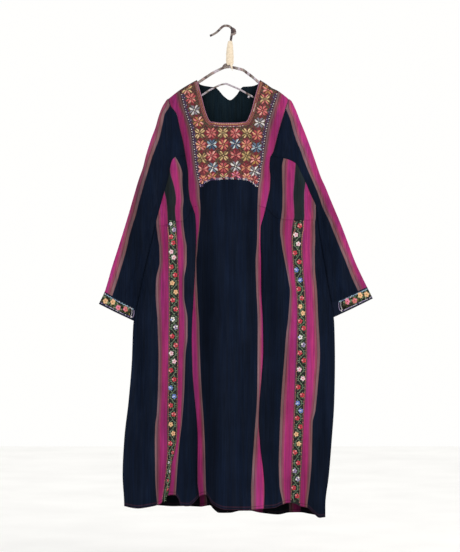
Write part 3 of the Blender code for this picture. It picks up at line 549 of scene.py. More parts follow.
def grid_object(name, points, uv, keep, flip, material, wall=CLOTH, offset=-1.0, inside=None):
    """A sheet over a grid of points, with a wall on the inside."""
    rows, columns = points.shape[:2]
    numbers = -np.ones((rows, columns), dtype=int)
    numbers[keep] = np.arange(int(keep.sum()))
    a, b, c, e = numbers[:-1, :-1], numbers[1:, :-1], numbers[1:, 1:], numbers[:-1, 1:]
    whole = (a >= 0) & (b >= 0) & (c >= 0) & (e >= 0)
    corners = (e, c, b, a) if flip else (a, b, c, e)
    faces = np.stack([part[whole] for part in corners], axis=1)
    mesh = bpy.data.meshes.new(name)
    mesh.from_pydata(points[keep].tolist(), [], faces.tolist())
    layer = mesh.uv_layers.new(name="weave")
    flat = uv[keep]
    corner = np.empty(len(mesh.loops), dtype=np.int32)
    mesh.loops.foreach_get("vertex_index", corner)
    layer.data.foreach_set("uv", flat[corner].astype(np.float32).ravel())
    mesh.shade_smooth()
    mesh.materials.append(material)
    made = bpy.data.objects.new(name, mesh)
    DRESS.objects.link(made)
    if wall:
        thick = made.modifiers.new("wall", "SOLIDIFY")
        thick.thickness = wall * MM
        thick.offset = offset
        # The inner shell takes the inside material; for the dress it carries painted shade towards the hem.
        if inside:
            mesh.materials.append(inside)
            thick.material_offset = 1
    return made


# Materials

LIGHTS_ADD = 0.77


def srgb(red, green, blue):
    """A colour as it looks in the picture, made darker by what the lights add."""
    out = []
    for value in (red, green, blue):
        value = value / 255
        linear = value / 12.92 if value <= 0.04045 else ((value + 0.055) / 1.055) ** 2.4
        out.append(linear * LIGHTS_ADD)
    return tuple(out) + (1.0,)


class Nodes:
    """Short calls for a material's nodes."""

    def __init__(self, name, roughness, sheen=0.0, sheen_tint=(1, 1, 1, 1)):
        self.material = bpy.data.materials.new(name)
        self.material.use_nodes = True
        self.tree = self.material.node_tree
        self.shader = self.tree.nodes["Principled BSDF"]
        self.shader.inputs["Roughness"].default_value = roughness
        self.shader.inputs["Sheen Weight"].default_value = sheen
        self.shader.inputs["Sheen Roughness"].default_value = 0.45
        self.shader.inputs["Sheen Tint"].default_value = sheen_tint
        self.shader.inputs["Specular IOR Level"].default_value = 0.25

    def add(self, kind, **values):
        made = self.tree.nodes.new(kind)
        for key, value in values.items():
            setattr(made, key, value)
        return made

    def link(self, a, b):
        self.tree.links.new(a, b)

    def place(self, scale):
        """Object coordinates, scaled on each axis."""
        where = self.add("ShaderNodeTexCoord")
        mapping = self.add("ShaderNodeMapping")
        mapping.inputs["Scale"].default_value = scale
        self.link(where.outputs["Object"], mapping.inputs["Vector"])
        return mapping.outputs["Vector"]

    def noise(self, scale, size=1.0, detail=3.0):
        made = self.add("ShaderNodeTexNoise")
        made.inputs["Scale"].default_value = size
        made.inputs["Detail"].default_value = detail
        self.link(self.place(scale), made.inputs["Vector"])
        return made.outputs["Fac"]

    def mapped(self, value, low, high, to_low, to_high):
        made = self.add("ShaderNodeMapRange")
        for key, number in (("From Min", low), ("From Max", high), ("To Min", to_low), ("To Max", to_high)):
            made.inputs[key].default_value = number
        self.link(value, made.inputs["Value"])
        return made.outputs["Result"]

    def mix(self, kind, factor, a, b):
        made = self.add("ShaderNodeMix", data_type="RGBA", blend_type=kind)
        for socket, value in ((made.inputs["Factor"], factor), (made.inputs[6], a), (made.inputs[7], b)):
            if isinstance(value, (int, float, tuple)):
                socket.default_value = value
            else:
                self.link(value, socket)
        return made.outputs[2]

    def math(self, kind, a, b):
        made = self.add("ShaderNodeMath", operation=kind)
        for socket, value in zip(made.inputs, (a, b)):
            if isinstance(value, (int, float)):
                socket.default_value = value
            else:
                self.link(value, socket)
        return made.outputs[0]

    def bump(self, height, strength, distance):
        made = self.add("ShaderNodeBump")
        made.inputs["Strength"].default_value = strength
        made.inputs["Distance"].default_value = distance
        self.link(height, made.inputs["Height"])
        self.link(made.outputs["Normal"], self.shader.inputs["Normal"])

    def weave(self, pitch):
        """Warp and weft threads as a height."""
        out = []
        for direction in ("X", "Z"):
            wave = self.add(
                "ShaderNodeTexWave", wave_type="BANDS", bands_direction=direction, wave_profile="SIN"
            )
            wave.inputs["Scale"].default_value = 0.314 / pitch
            wave.inputs["Distortion"].default_value = 1.2
            wave.inputs["Detail"].default_value = 1.0
            self.link(self.place((1, 1, 1)), wave.inputs["Vector"])
            out.append(wave.outputs["Fac"])
        return self.math("ADD", out[0], out[1])


CLOTH_NAVY = srgb(17, 25, 41)
MAGENTA = srgb(160, 50, 110)
BROWN = srgb(124, 92, 96)
ROSE_BROWN = srgb(140, 70, 94)
BROWN_DARK = srgb(110, 62, 74)
PINK_LINE = srgb(132, 66, 96)
RIB_GREEN = srgb(36, 43, 46)
HEM_PLUM = srgb(74, 42, 54)


def stripe(start, end):
    """Lines of one woven stripe from its plain side to its brown side."""
    lines = (
        (0.02, 0.08, PINK_LINE), (0.08, 0.60, MAGENTA), (0.61, 0.74, ROSE_BROWN), (0.75, 0.79, BROWN_DARK),
        (0.80, 0.97, BROWN)
    )
    return [
        tuple(sorted((start + (end - start) * a, start + (end - start) * b))) + (colour,) for a, b,
        colour in lines
    ]


def cloth_material(name, bands, low, high, base=CLOTH_NAVY, darker=None, painted_inside_shade=False):
    """Black-navy cotton with woven stripes at places along the weave map's first axis, with painted fold
    shade in its colour and, where asked, painted shade on one side or on the inside.
    """
    nodes = Nodes(name, 0.9)
    nodes.shader.inputs["Specular IOR Level"].default_value = 0.03
    where = nodes.add("ShaderNodeUVMap", uv_map="weave")
    split = nodes.add("ShaderNodeSeparateXYZ")
    nodes.link(where.outputs["UV"], split.inputs["Vector"])
    wander = nodes.mapped(nodes.noise((1, 1, 1), 90.0), 0.0, 1.0, -0.012, 0.012)
    across = nodes.math("ADD", split.outputs["X"], wander)
    ramp = nodes.add("ShaderNodeValToRGB")
    nodes.link(nodes.mapped(across, low, high, 0.0, 1.0), ramp.inputs["Fac"])
    stops = [(0.0, base)]
    soft = 0.006
    previous = None
    for start, end, colour in sorted(bands):
        a = (start - low) / (high - low)
        b = (end - low) / (high - low)
        edge = soft / (high - low)
        if previous is None or a - previous > 2 * edge:
            if previous is not None:
                stops.append((previous + edge, base))
            stops.append((a - edge, base))
        stops.append((a + edge, colour))
        stops.append((b - edge, colour))
        previous = b
    stops.append((previous + soft / (high - low), base))
    elements = ramp.color_ramp.elements
    while len(elements) > 1:
        elements.remove(elements[-1])
    elements[0].position = stops[0][0]
    elements[0].color = stops[0][1]
    for position, colour in stops[1:]:
        made = elements.new(min(max(position, 0.0), 1.0))
        made.color = colour
    tone = nodes.mapped(nodes.noise((260.0, 260.0, 7.0), 1.0, 2.0), 0.25, 0.75, 0.72, 1.25)
    cloud = nodes.mapped(nodes.noise((1, 1, 1), 14.0, 4.0), 0.3, 0.7, 0.88, 1.12)
    # Painted shade of folds: long soft vertical streaks, darker and lighter in turn, multiply the colour.
    painted_fold_streaks = nodes.mapped(nodes.noise((24.0, 24.0, 2.2), 1.0, 2.0), 0.3, 0.7, 0.70, 1.28)
    shade = nodes.math("MULTIPLY", nodes.math("MULTIPLY", tone, cloud), painted_fold_streaks)
    # Painted shade: cloth on the low side of this place across the weave is darker, as where the centre
    # panel's left turns away from the key light.
    if darker:
        place, soft_edge, amount = darker
        shade = nodes.math(
            "MULTIPLY", shade,
            nodes.mapped(split.outputs["X"], place - soft_edge, place + soft_edge, amount, 1.06)
        )
    # Painted shade inside the dress: the inner face grows darker towards the hem, where little light gets in.
    if painted_inside_shade:
        shade = nodes.math("MULTIPLY", shade, nodes.mapped(split.outputs["Y"], 0.03, 0.5, 0.26, 1.15))
    hue = nodes.mapped(nodes.noise((120.0, 120.0, 3.0), 1.0, 2.0), 0.35, 0.65, 0.92, 1.08)
    combine = nodes.add("ShaderNodeCombineColor")
    nodes.link(nodes.math("MULTIPLY", shade, hue), combine.inputs["Red"])
    nodes.link(shade, combine.inputs["Green"])
    nodes.link(nodes.math("MULTIPLY", shade, nodes.math("SUBTRACT", 2.0, hue)), combine.inputs["Blue"])
    above = nodes.mapped(split.outputs["Y"], 0.0070, 0.0080, 0.0, 1.0)
    below = nodes.mapped(split.outputs["Y"], 0.0100, 0.0110, 0.5, 0.0)
    edge_line = nodes.mapped(split.outputs["Y"], 0.0022, 0.0034, 0.45, 0.0)
    hem = nodes.math("ADD", nodes.math("MULTIPLY", above, below), edge_line)
    woven = nodes.mix("MIX", hem, ramp.outputs["Color"], HEM_PLUM)
    colour = nodes.mix("MULTIPLY", 1.0, woven, combine.outputs["Color"])
    nodes.link(colour, nodes.shader.inputs["Base Color"])
    grain = nodes.math("ADD", nodes.weave(0.0007), nodes.noise((900, 900, 300), 1.0, 2.0))
    nodes.bump(grain, 0.35, 0.0002)
    return nodes.material


# Front cloth, also used for the back panel: painted shade darkens its left part, up to a little left of the
# middle.
FRONT_CLOTH = cloth_material(
    "cotton_front", stripe(0.0, 1.0) + stripe(4.0, 3.0), -0.5, 4.5, darker=(1.62, 0.14, 0.70)
)
GORE_CLOTH = cloth_material(
    "cotton_gore", stripe(1.0, 0.0) + [(1.0, 2.0, RIB_GREEN)] + stripe(2.0, 3.0), -1.0, 4.0
)
BACK_GORE_CLOTH = cloth_material("cotton_gore_back", stripe(1.0, 0.0) + stripe(2.0, 3.0), -1.0, 4.0)
# Inner faces of the panels and gores: a dark teal ground with the stripes, and painted shade deepening
# towards the hem.
FRONT_INSIDE = cloth_material(
    "cotton_front_inside", stripe(0.0, 1.0) + stripe(4.0, 3.0), -0.5, 4.5, srgb(17, 28, 35), painted_inside_shade=True
)
GORE_INSIDE = cloth_material(
    "cotton_gore_inside", stripe(1.0, 0.0) + stripe(2.0, 3.0), -1.0, 4.0, srgb(17, 28, 35), painted_inside_shade=True
)
SLEEVE_CLOTH = cloth_material("cotton_sleeve", stripe(0.0, 1.0), -2.0, 3.0)


# Panels

def neck_rise(u):
    off = np.abs(u - NECK_MIDDLE)
    beyond = np.clip(off - NECK_HALF_WIDTH, 0.0, None) / STRAP_REACH
    return NECK_CORNER_RISE * np.minimum(off / NECK_HALF_WIDTH, 1.0) ** 4 * np.clip(1.0 - beyond, 0.0, 1.0)


def shoulder_top(u):
    return np.where(u < 0, SHOULDERS[0](np.minimum(u, -97.0)), SHOULDERS[1](np.maximum(u, 100.0)))


# How far outwards the stripes of the back gores stand from those of the front ones, in millimetres
BACK_STRIPE_SHIFTS = {"left": (44.0, 58.0, 60.0, 60.0), "right": (19.0, 34.0, 46.0, 46.0)}
FRONT_COUNTS = (9, 12, 30, 12, 9)


def front_lines(d):
    """The front panel's named lines at distances down."""
    return [
        SEAM_LEFT(d) + SEAM_GAP, INNER_LEFT(d), NECK_LEFT(d), NECK_RIGHT(d), INNER_RIGHT(d),
        SEAM_RIGHT(d) - SEAM_GAP
    ]


def column_at(index, d):
    """u of one of the front panel's columns."""
    lines = front_lines(d)
    for k, count in enumerate(FRONT_COUNTS):
        if index <= count:
            return lines[k] + (lines[k + 1] - lines[k]) * (index / count)
        index -= count
    return lines[-1]


def bend_at_tuck(level, u):
    """Rows near the waist follow the waist fold."""
    off = (level - TUCK_LEVEL) / 130.0
    share = np.exp(-(off * off) * 2.2) * np.clip(1.0 - off * off * 0.45, 0.0, 1.0)
    return (TUCK(u) - TUCK_LEVEL) * share


def to_hem(level, hem_at):
    share = np.clip((level - HEM_BEND_TOP) / (HEM_LEVEL - HEM_BEND_TOP), 0.0, 1.0)
    share = share * share * (3 - 2 * share)
    return share * (hem_at - HEM_LEVEL)


FRONT_HEM = Smooth([float(u_of(x)) for x, _ in HEM_FRONT], [float(d_of(y)) for _, y in HEM_FRONT])
BACK_HEM = Smooth([float(u_of(x)) for x, _ in HEM_BACK], [float(d_of(y)) for _, y in HEM_BACK])
TUCK_ROWS = (386.5, 388.0, 388.5, 390.0)
BODY_LEVELS = np.array(
    sorted(
        set(
            list(np.arange(150.0, 384.0, 4.5)) + list(TUCK_ROWS) + list(np.arange(394.0, 1300.0, 5.0))
            + list(np.arange(1300.0, 1327.0, 3.0)) + [1329.0]
        )
    )
)


def front_panel():
    total = sum(FRONT_COUNTS)
    neck_first = FRONT_COUNTS[0] + FRONT_COUNTS[1]
    neck_last = neck_first + FRONT_COUNTS[2]
    heads = []
    for column in range(total + 1):
        d = 60.0
        for _ in range(60):
            d = 0.5 * (d + float(shoulder_top(column_at(column, d))))
        heads.append(d)
    heads = np.array(heads)
    low_u = np.array([column_at(column, NECK_BOTTOM) for column in range(total + 1)])
    low = NECK_BOTTOM - neck_rise(low_u)
    steps = [
        FOLD_RADIUS * (1 - math.cos(math.radians(angle))) for angle in (0, 6, 14, 24, 36, 50, 66, 82, 90)
    ]
    grid = []
    for step in steps:
        grid.append(heads + step * SHOULDER_SLOPE)
    top = heads + steps[-1] * SHOULDER_SLOPE
    for share in np.linspace(0, 1, 24)[1:-1]:
        grid.append(top + (low - top) * share)
    strap_rows = len(grid)
    grid.append(low)
    for share in (0.33, 0.66):
        grid.append(low + (BODY_LEVELS[0] - low) * share)
    d_rows = np.array(grid)
    u_rows = np.array(
        [[float(column_at(column, row[column])) for column in range(total + 1)] for row in d_rows]
    )
    body_u = np.stack([column_at(column, BODY_LEVELS) for column in range(total + 1)], axis=1)
    levels = np.repeat(BODY_LEVELS[:, None], total + 1, axis=1)
    body_d = levels + bend_at_tuck(levels, body_u)
    for _ in range(4):
        body_u = np.stack([column_at(column, body_d[:, column]) for column in range(total + 1)], axis=1)
        body_d = levels + bend_at_tuck(levels, body_u) + to_hem(levels, FRONT_HEM(body_u))
    u = np.vstack([u_rows, body_u])
    d = np.vstack([d_rows, body_d])
    upper = np.vstack([np.ones_like(d_rows, dtype=bool), levels < 388.2])
    y = front_depth(u, d, upper)
    y[0] = -EDGE_GAP
    points = np.stack([u + MIDDLE_X, y, NECK_Z - d], axis=-1) * MM
    keep = np.ones(u.shape, dtype=bool)
    keep[:strap_rows, neck_first + 1:neck_last] = False
    shares_left = Smooth(
        d_of([row[0] for row in CENTRE_LEFT]), [row[3] for row in CENTRE_LEFT]
    ), Smooth(d_of([row[0] for row in CENTRE_LEFT]), [row[4] for row in CENTRE_LEFT])
    shares_right = Smooth(
        d_of([row[0] for row in CENTRE_RIGHT]), [row[3] for row in CENTRE_RIGHT]
    ), Smooth(d_of([row[0] for row in CENTRE_RIGHT]), [row[4] for row in CENTRE_RIGHT])
    across = np.zeros_like(u)
    first = FRONT_COUNTS[0]
    last = total - FRONT_COUNTS[-1]
    for column in range(total + 1):
        at = d[:, column]
        if column <= first:
            part = column / first
            across[:, column] = shares_left[0](at) + (shares_left[1](at) - shares_left[0](at)) * part
        elif column >= last:
            part = (column - last) / (total - last)
            across[:, column] = 4.0 - (
                shares_right[1](at) + (shares_right[0](at) - shares_right[1](at)) * part
            )
        else:
            across[:, column] = 1.0 + 2.0 * (column - first) / (last - first)
    return grid_object(
        "front_panel_cloth", points, np.stack([across, (FRONT_HEM(u) - d) * MM], axis=-1), keep, False,
        FRONT_CLOTH, inside=FRONT_INSIDE
    )


def back_panel():
    """Like the front, with the slit neck of the back."""
    counts = (9, 12, 9, 7, 7, 9, 12, 9)
    total = sum(counts)
    flap_left = Smooth((0, 137, 187, 1400), (-41, -41, -26, -20))
    flap_right = Smooth((0, 137, 187, 1400), (47, 40, 30, 24))

    def lines(d):
        middle = np.full(np.shape(d), 6.0)
        return [
            SEAM_LEFT(d) + SEAM_GAP, INNER_LEFT(d), NECK_LEFT(d) - 4.0, flap_left(d), middle, flap_right(d),
            NECK_RIGHT(d) + 4.0, INNER_RIGHT(d), SEAM_RIGHT(d) - SEAM_GAP
        ]

    def column_u(index, d):
        named = lines(d)
        for k, count in enumerate(counts):
            if index <= count:
                return named[k] + (named[k + 1] - named[k]) * (index / count)
            index -= count
        return named[-1]

    neck_line = Smooth([u for u, _ in BACK_NECK], [d for _, d in BACK_NECK])

    def back_top(u):
        return float(neck_line(u)) if -97 < u < 100 else float(shoulder_top(np.array(u)))

    heads = []
    for column in range(total + 1):
        d = 60.0
        for _ in range(80):
            d = 0.5 * (d + back_top(float(column_u(column, d))))
        heads.append(d)
    heads = np.array(heads)
    head_u = np.array([float(column_u(column, heads[column])) for column in range(total + 1)])
    in_neck = (head_u > -96) & (head_u < 99)
    steps = [
        FOLD_RADIUS * (1 - math.cos(math.radians(angle))) for angle in (0, 6, 14, 24, 36, 50, 66, 82, 90)
    ]
    grid = [heads + np.where(in_neck, 0.6, 1.0) * step * SHOULDER_SLOPE for step in steps]
    top = grid[-1]
    levels = BODY_LEVELS[~np.isin(BODY_LEVELS, (386.5, 388.5, 390.0))]
    for share in np.linspace(0, 1, 26)[1:-1]:
        grid.append(top + (levels[0] - top) * share)
    d_rows = np.array(grid)
    u_rows = np.array(
        [[float(column_u(column, row[column])) for column in range(total + 1)] for row in d_rows]
    )
    body_levels = np.repeat(levels[:, None], total + 1, axis=1)
    body_u = np.stack([column_u(column, levels) for column in range(total + 1)], axis=1)
    for _ in range(3):
        body_d = body_levels + to_hem(body_levels, BACK_HEM(body_u))
        body_u = np.stack([column_u(column, body_d[:, column]) for column in range(total + 1)], axis=1)
    u = np.vstack([u_rows, body_u])
    d = np.vstack([d_rows, body_d])
    y = back_depth(u, d)
    y[0] = np.where(in_neck, y[0], EDGE_GAP)
    points = np.stack([u + MIDDLE_X, y, NECK_Z - d], axis=-1) * MM
    named_u = [INNER_LEFT(d), INNER_RIGHT(d), SEAM_LEFT(d), SEAM_RIGHT(d)]
    left = (u - named_u[2]) / np.maximum(named_u[0] - named_u[2], 24.0)
    right = 4.0 - (named_u[3] - u) / np.maximum(named_u[3] - named_u[1], 24.0)
    across = np.where(left < 1.0, left, np.where(right > 3.0, right, 2.0))
    keep = np.ones(u.shape, dtype=bool)
    return grid_object(
        "back_panel_cloth", points, np.stack([across, (BACK_HEM(u) - d) * MM], axis=-1), keep, True,
        FRONT_CLOTH, inside=FRONT_INSIDE
    )


def gore(side, face):
    """Front or back gore: rows at one height, columns on the stripes' edges."""
    left = side == "left"
    sign = -1.0 if left else 1.0
    seam, edge = (SEAM_LEFT, EDGE_LEFT) if left else (SEAM_RIGHT, EDGE_RIGHT)
    table = GORE_LEFT_STRIPES if left else GORE_RIGHT_STRIPES
    shifts = (0.0, 0.0, 0.0, 0.0) if face == "front" else BACK_STRIPE_SHIFTS[side]
    lines = [
        lambda d, line=by_height(table, column),
        shift=sign * shifts[column - 1]: line(d) + shift for column in (1, 2, 3, 4)
    ]
    underarm = UNDERARM_LEFT if left else UNDERARM_RIGHT
    hem = FRONT_HEM if face == "front" else BACK_HEM
    levels = np.concatenate(
        [
            [236.6, 238.0, 240.0, 242.5, 245.5, 249.0], np.arange(253.0, 384.0, 4.5), TUCK_ROWS,
            np.arange(394.0, 1300.0, 5.0), np.arange(1300.0, 1327.0, 3.0), [1329.0]
        ]
    )
    counts = (9, 8, 7, 8, 13)
    insets = [
        FOLD_RADIUS * (1 - math.cos(math.radians(angle))) for angle in (90, 82, 68, 54, 42, 30, 20, 10, 0)
    ]

    def row_at(d):
        start = seam(d) + sign * SEAM_GAP
        gap = np.where(d < underarm, SEAM_GAP, SLIT_HALF_GAP)
        total = np.abs(edge(d) - start) - gap
        true = [np.abs(line(d) - start) * (sign * (line(d) - start) > 0) for line in lines]
        knots = [np.zeros_like(d)]
        for k, place in enumerate(true):
            limit = total * (0.55 + 0.08 * k)
            knots.append(np.minimum(place, limit))
        last = total - insets[0] * np.minimum(1.0, total * 0.3 / FOLD_RADIUS)
        knots.append(np.maximum(last, knots[-1] + total * 0.02))
        offs = []
        for k, count in enumerate(counts):
            offs.extend(knots[k] + (knots[k + 1] - knots[k]) * j / count for j in range(count))
        scale = np.minimum(1.0, total * 0.3 / FOLD_RADIUS)
        offs.extend(np.maximum(total - value * scale, knots[-1]) for value in insets)
        offs = np.stack(offs, axis=1)
        return start, total, true, offs

    columns = sum(counts) + len(insets)
    grid_levels = np.repeat(levels[:, None], columns, axis=1)
    d = grid_levels.copy()
    for _ in range(6):
        u = np.empty_like(d)
        across = np.empty_like(d)
        for column in range(columns):
            start, total, true, offs = row_at(d[:, column])
            off = offs[:, column]
            u[:, column] = start + sign * off
            xs = np.stack(
                [np.zeros_like(off), true[0], true[1], true[2], true[3], np.maximum(total, true[3] + 15.0)],
                axis=1
            )
            xs = np.maximum.accumulate(xs + np.arange(6) * 1e-3, axis=1)
            across[:, column] = [
                np.interp(value, row, (-1.0, 0.0, 1.0, 2.0, 3.0, 4.0)) for value, row in zip(off, xs)
            ]
        bend = bend_at_tuck(grid_levels, u) * np.clip(
            (grid_levels - 237.0) / 40.0, 0.0, 1.0
        ) if face == "front" else 0.0
        d = grid_levels + bend + to_hem(grid_levels, hem(u))
    if face == "front":
        y = front_depth(u, d, grid_levels < 388.2)
    else:
        y = back_depth(u, d)
    on_slit = d[:, -1] > underarm
    y[:, -1] = np.where(on_slit, (-1 if face == "front" else 1) * EDGE_GAP, y[:, -1])
    points = np.stack([u + MIDDLE_X, y, NECK_Z - d], axis=-1) * MM
    if face == "back":
        ribbon_zone = (across > 1.0) & (across < 2.0)
        across = np.where(ribbon_zone, np.where(across < 1.5, 1.0, 2.0), across)
    keep = np.ones(u.shape, dtype=bool)
    flip = (left and face == "front") or (not left and face == "back")
    return grid_object(
        "side_panel_" + face + "_" + side + "_cloth", points, np.stack([across, (hem(u) - d) * MM], axis=-1),
        keep, flip, GORE_CLOTH if face == "front" else BACK_GORE_CLOTH, inside=GORE_INSIDE
    )


def sleeve(side):
    left = side == "left"
    table = SLEEVE_LEFT if left else SLEEVE_RIGHT
    seam, edge = (SEAM_LEFT, EDGE_LEFT) if left else (SEAM_RIGHT, EDGE_RIGHT)
    underarm = UNDERARM_LEFT if left else UNDERARM_RIGHT
    stripe_edge = Smooth(
        *[[row[k] for row in (SLEEVE_STRIPE_LEFT if left else SLEEVE_STRIPE_RIGHT)] for k in (0, 1)]
    )
    at, (u_fold, d_fold, u_low, d_low) = curve_rows(table, 9)
    on_seam = at <= 5.0
    u_low = np.where(on_seam, seam(d_low), np.where(d_low < underarm + 60, edge(d_low), u_low))
    gap = np.where(d_low < underarm, SEAM_GAP, SLIT_HALF_GAP)
    run = np.stack([u_low - u_fold, d_low - d_fold], axis=1)
    length = np.hypot(run[:, 0], run[:, 1])
    run = run / length[:, None]
    length = np.maximum(length - gap, 1.0)
    angles = (0, 8, 18, 30, 42, 55, 68, 80, 90)
    near = np.array([FOLD_RADIUS * (1 - math.cos(math.radians(angle))) for angle in angles])
    scale = np.minimum(1.0, length * 0.3 / FOLD_RADIUS)
    offs = []
    for row_length, row_scale in zip(length, scale):
        first = near * row_scale
        middle = np.linspace(first[-1], row_length - first[-1], 20)[1:-1]
        offs.append(np.concatenate([first, middle, row_length - first[::-1]]))
    offs = np.array(offs)
    u = u_fold[:, None] + run[:, 0:1] * offs
    d = d_fold[:, None] + run[:, 1:2] * offs
    y_front = front_depth(u, d, np.zeros_like(u, dtype=bool))
    y_back = back_depth(u, d)
    past = (d[:, -1] > underarm)
    y_front[:, -1] = np.where(past, -EDGE_GAP, y_front[:, -1])
    y_back[:, -1] = np.where(past, EDGE_GAP, y_back[:, -1])
    y_front[:, 0] = 0.0
    # Place of the stripe's inner edge along each row, as a distance from the fold
    inner = np.empty(len(at))
    for k in range(len(at)):
        line_u = u_of(stripe_edge((d[k] / PIXEL) + PIXEL_Y))
        beyond = (u[k] - line_u) * (1 if left else -1)
        hit = np.argmax(beyond > 0) if np.any(beyond > 0) else len(beyond) - 1
        if hit == 0:
            inner[k] = offs[k][1]
        else:
            a, b = beyond[hit - 1], beyond[hit]
            inner[k] = offs[k][hit - 1] + (
                offs[k][hit] - offs[k][hit - 1]
            ) * (-a / (b - a) if b != a else 0.5)
    width = max(37.0, float(inner.max()) + 4.0)
    front_across = np.where(
        offs < inner[:, None], 1.0 - (inner[:, None] - offs) / width, 1.0 + (offs - inner[:, None]) / 90.0
    )
    back_across = 1.0 - (inner[:, None] + offs) / width
    back_across = np.maximum(back_across, -1.9)
    u_all = np.hstack([u[:, ::-1], u[:, 1:]])
    d_all = np.hstack([d[:, ::-1], d[:, 1:]])
    y_all = np.hstack([y_front[:, ::-1], y_back[:, 1:]])
    across = np.hstack([front_across[:, ::-1], back_across[:, 1:]])
    points = np.stack([u_all + MIDDLE_X, y_all, NECK_Z - d_all], axis=-1) * MM
    keep = np.ones(u_all.shape, dtype=bool)
    made = grid_object(
        "sleeve_" + side + "_cloth", points, np.stack([across, np.ones_like(d_all)], axis=-1), keep, not left,
        SLEEVE_CLOTH
    )
    reach = np.hstack([offs[:, ::-1], -offs[:, 1:]])
    return made, (at, points, reach)


front_object = front_panel()
back_object = back_panel()
gores = {(side, face): gore(side, face) for side in ("left", "right") for face in ("front", "back")}
sleeves = {side: sleeve(side) for side in ("left", "right")}

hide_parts("front_panel")
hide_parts("back_panel")
for (side, face), made in gores.items():
    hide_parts("side_panel_" + face + "_" + side)
for side, (made, _) in sleeves.items():
    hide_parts("sleeve_" + side)

for made in [front_object, back_object] + list(gores.values()) + [made for made, _ in sleeves.values()]:
    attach(made, "root")

# Stitches and small shapes laid on the cloth

THREADS = {
    "red": (178, 72, 78), "rose": (212, 118, 112), "salmon": (208, 130, 100), "cream": (222, 188, 140),
    "olive": (92, 78, 46),
    "khaki": (128, 104, 70), "brown": (84, 58, 46), "dark_red": (112, 22, 38), "blue": (62, 84, 112),
    "sky": (140, 168, 184),
    "white": (234, 228, 222), "lavender": (152, 138, 172), "purple": (66, 40, 88), "ink": (32, 22, 48),
    "navy": (22, 20, 38), "leaf": (70, 100, 60),
    "moss": (56, 62, 42), "peach": (238, 186, 138), "orange": (178, 122, 82), "plum": (84, 46, 58),
    "pink": (232, 130, 158),
    "azure": (98, 124, 196), "gold": (186, 140, 70), "wine": (116, 40, 50), "maroon": (66, 24, 32),
    "crimson": (194, 50, 66), "coral": (232, 138, 140),
    "umber": (98, 76, 56), "straw": (196, 162, 108), "pink_pale": (238, 176, 160), "blush": (236, 196, 206),
    "pale_azure": (170, 186, 232), "vine": (112, 134, 106), "sage": (122, 136, 104), "tan": (150, 112, 92),
    "gold_leaf": (128, 110, 50), "mauve": (140, 70, 88), "pale_mauve": (160, 104, 124),
    "terracotta": (150, 92, 72), "steel": (96, 116, 140), "ash": (128, 122, 134), "silver": (186, 180, 186),
}
COLOURS = list(THREADS)


def thread_material(name):
    red, green, blue = THREADS[name]
    nodes = Nodes("thread_" + name, 0.6, 0.25)
    tone = nodes.mapped(nodes.noise((1, 1, 1), 420.0, 2.0), 0.3, 0.7, 0.78, 1.2)
    combine = nodes.add("ShaderNodeCombineColor")
    for key in ("Red", "Green", "Blue"):
        nodes.link(tone, combine.inputs[key])
    nodes.link(
        nodes.mix("MULTIPLY", 1.0, srgb(red, green, blue), combine.outputs["Color"]),
        nodes.shader.inputs["Base Color"]
    )
    nodes.bump(nodes.noise((1, 1, 1), 2600.0, 1.0), 0.3, 0.0003)
    return nodes.material


THREAD_LOOKS = {name: thread_material(name) for name in COLOURS}


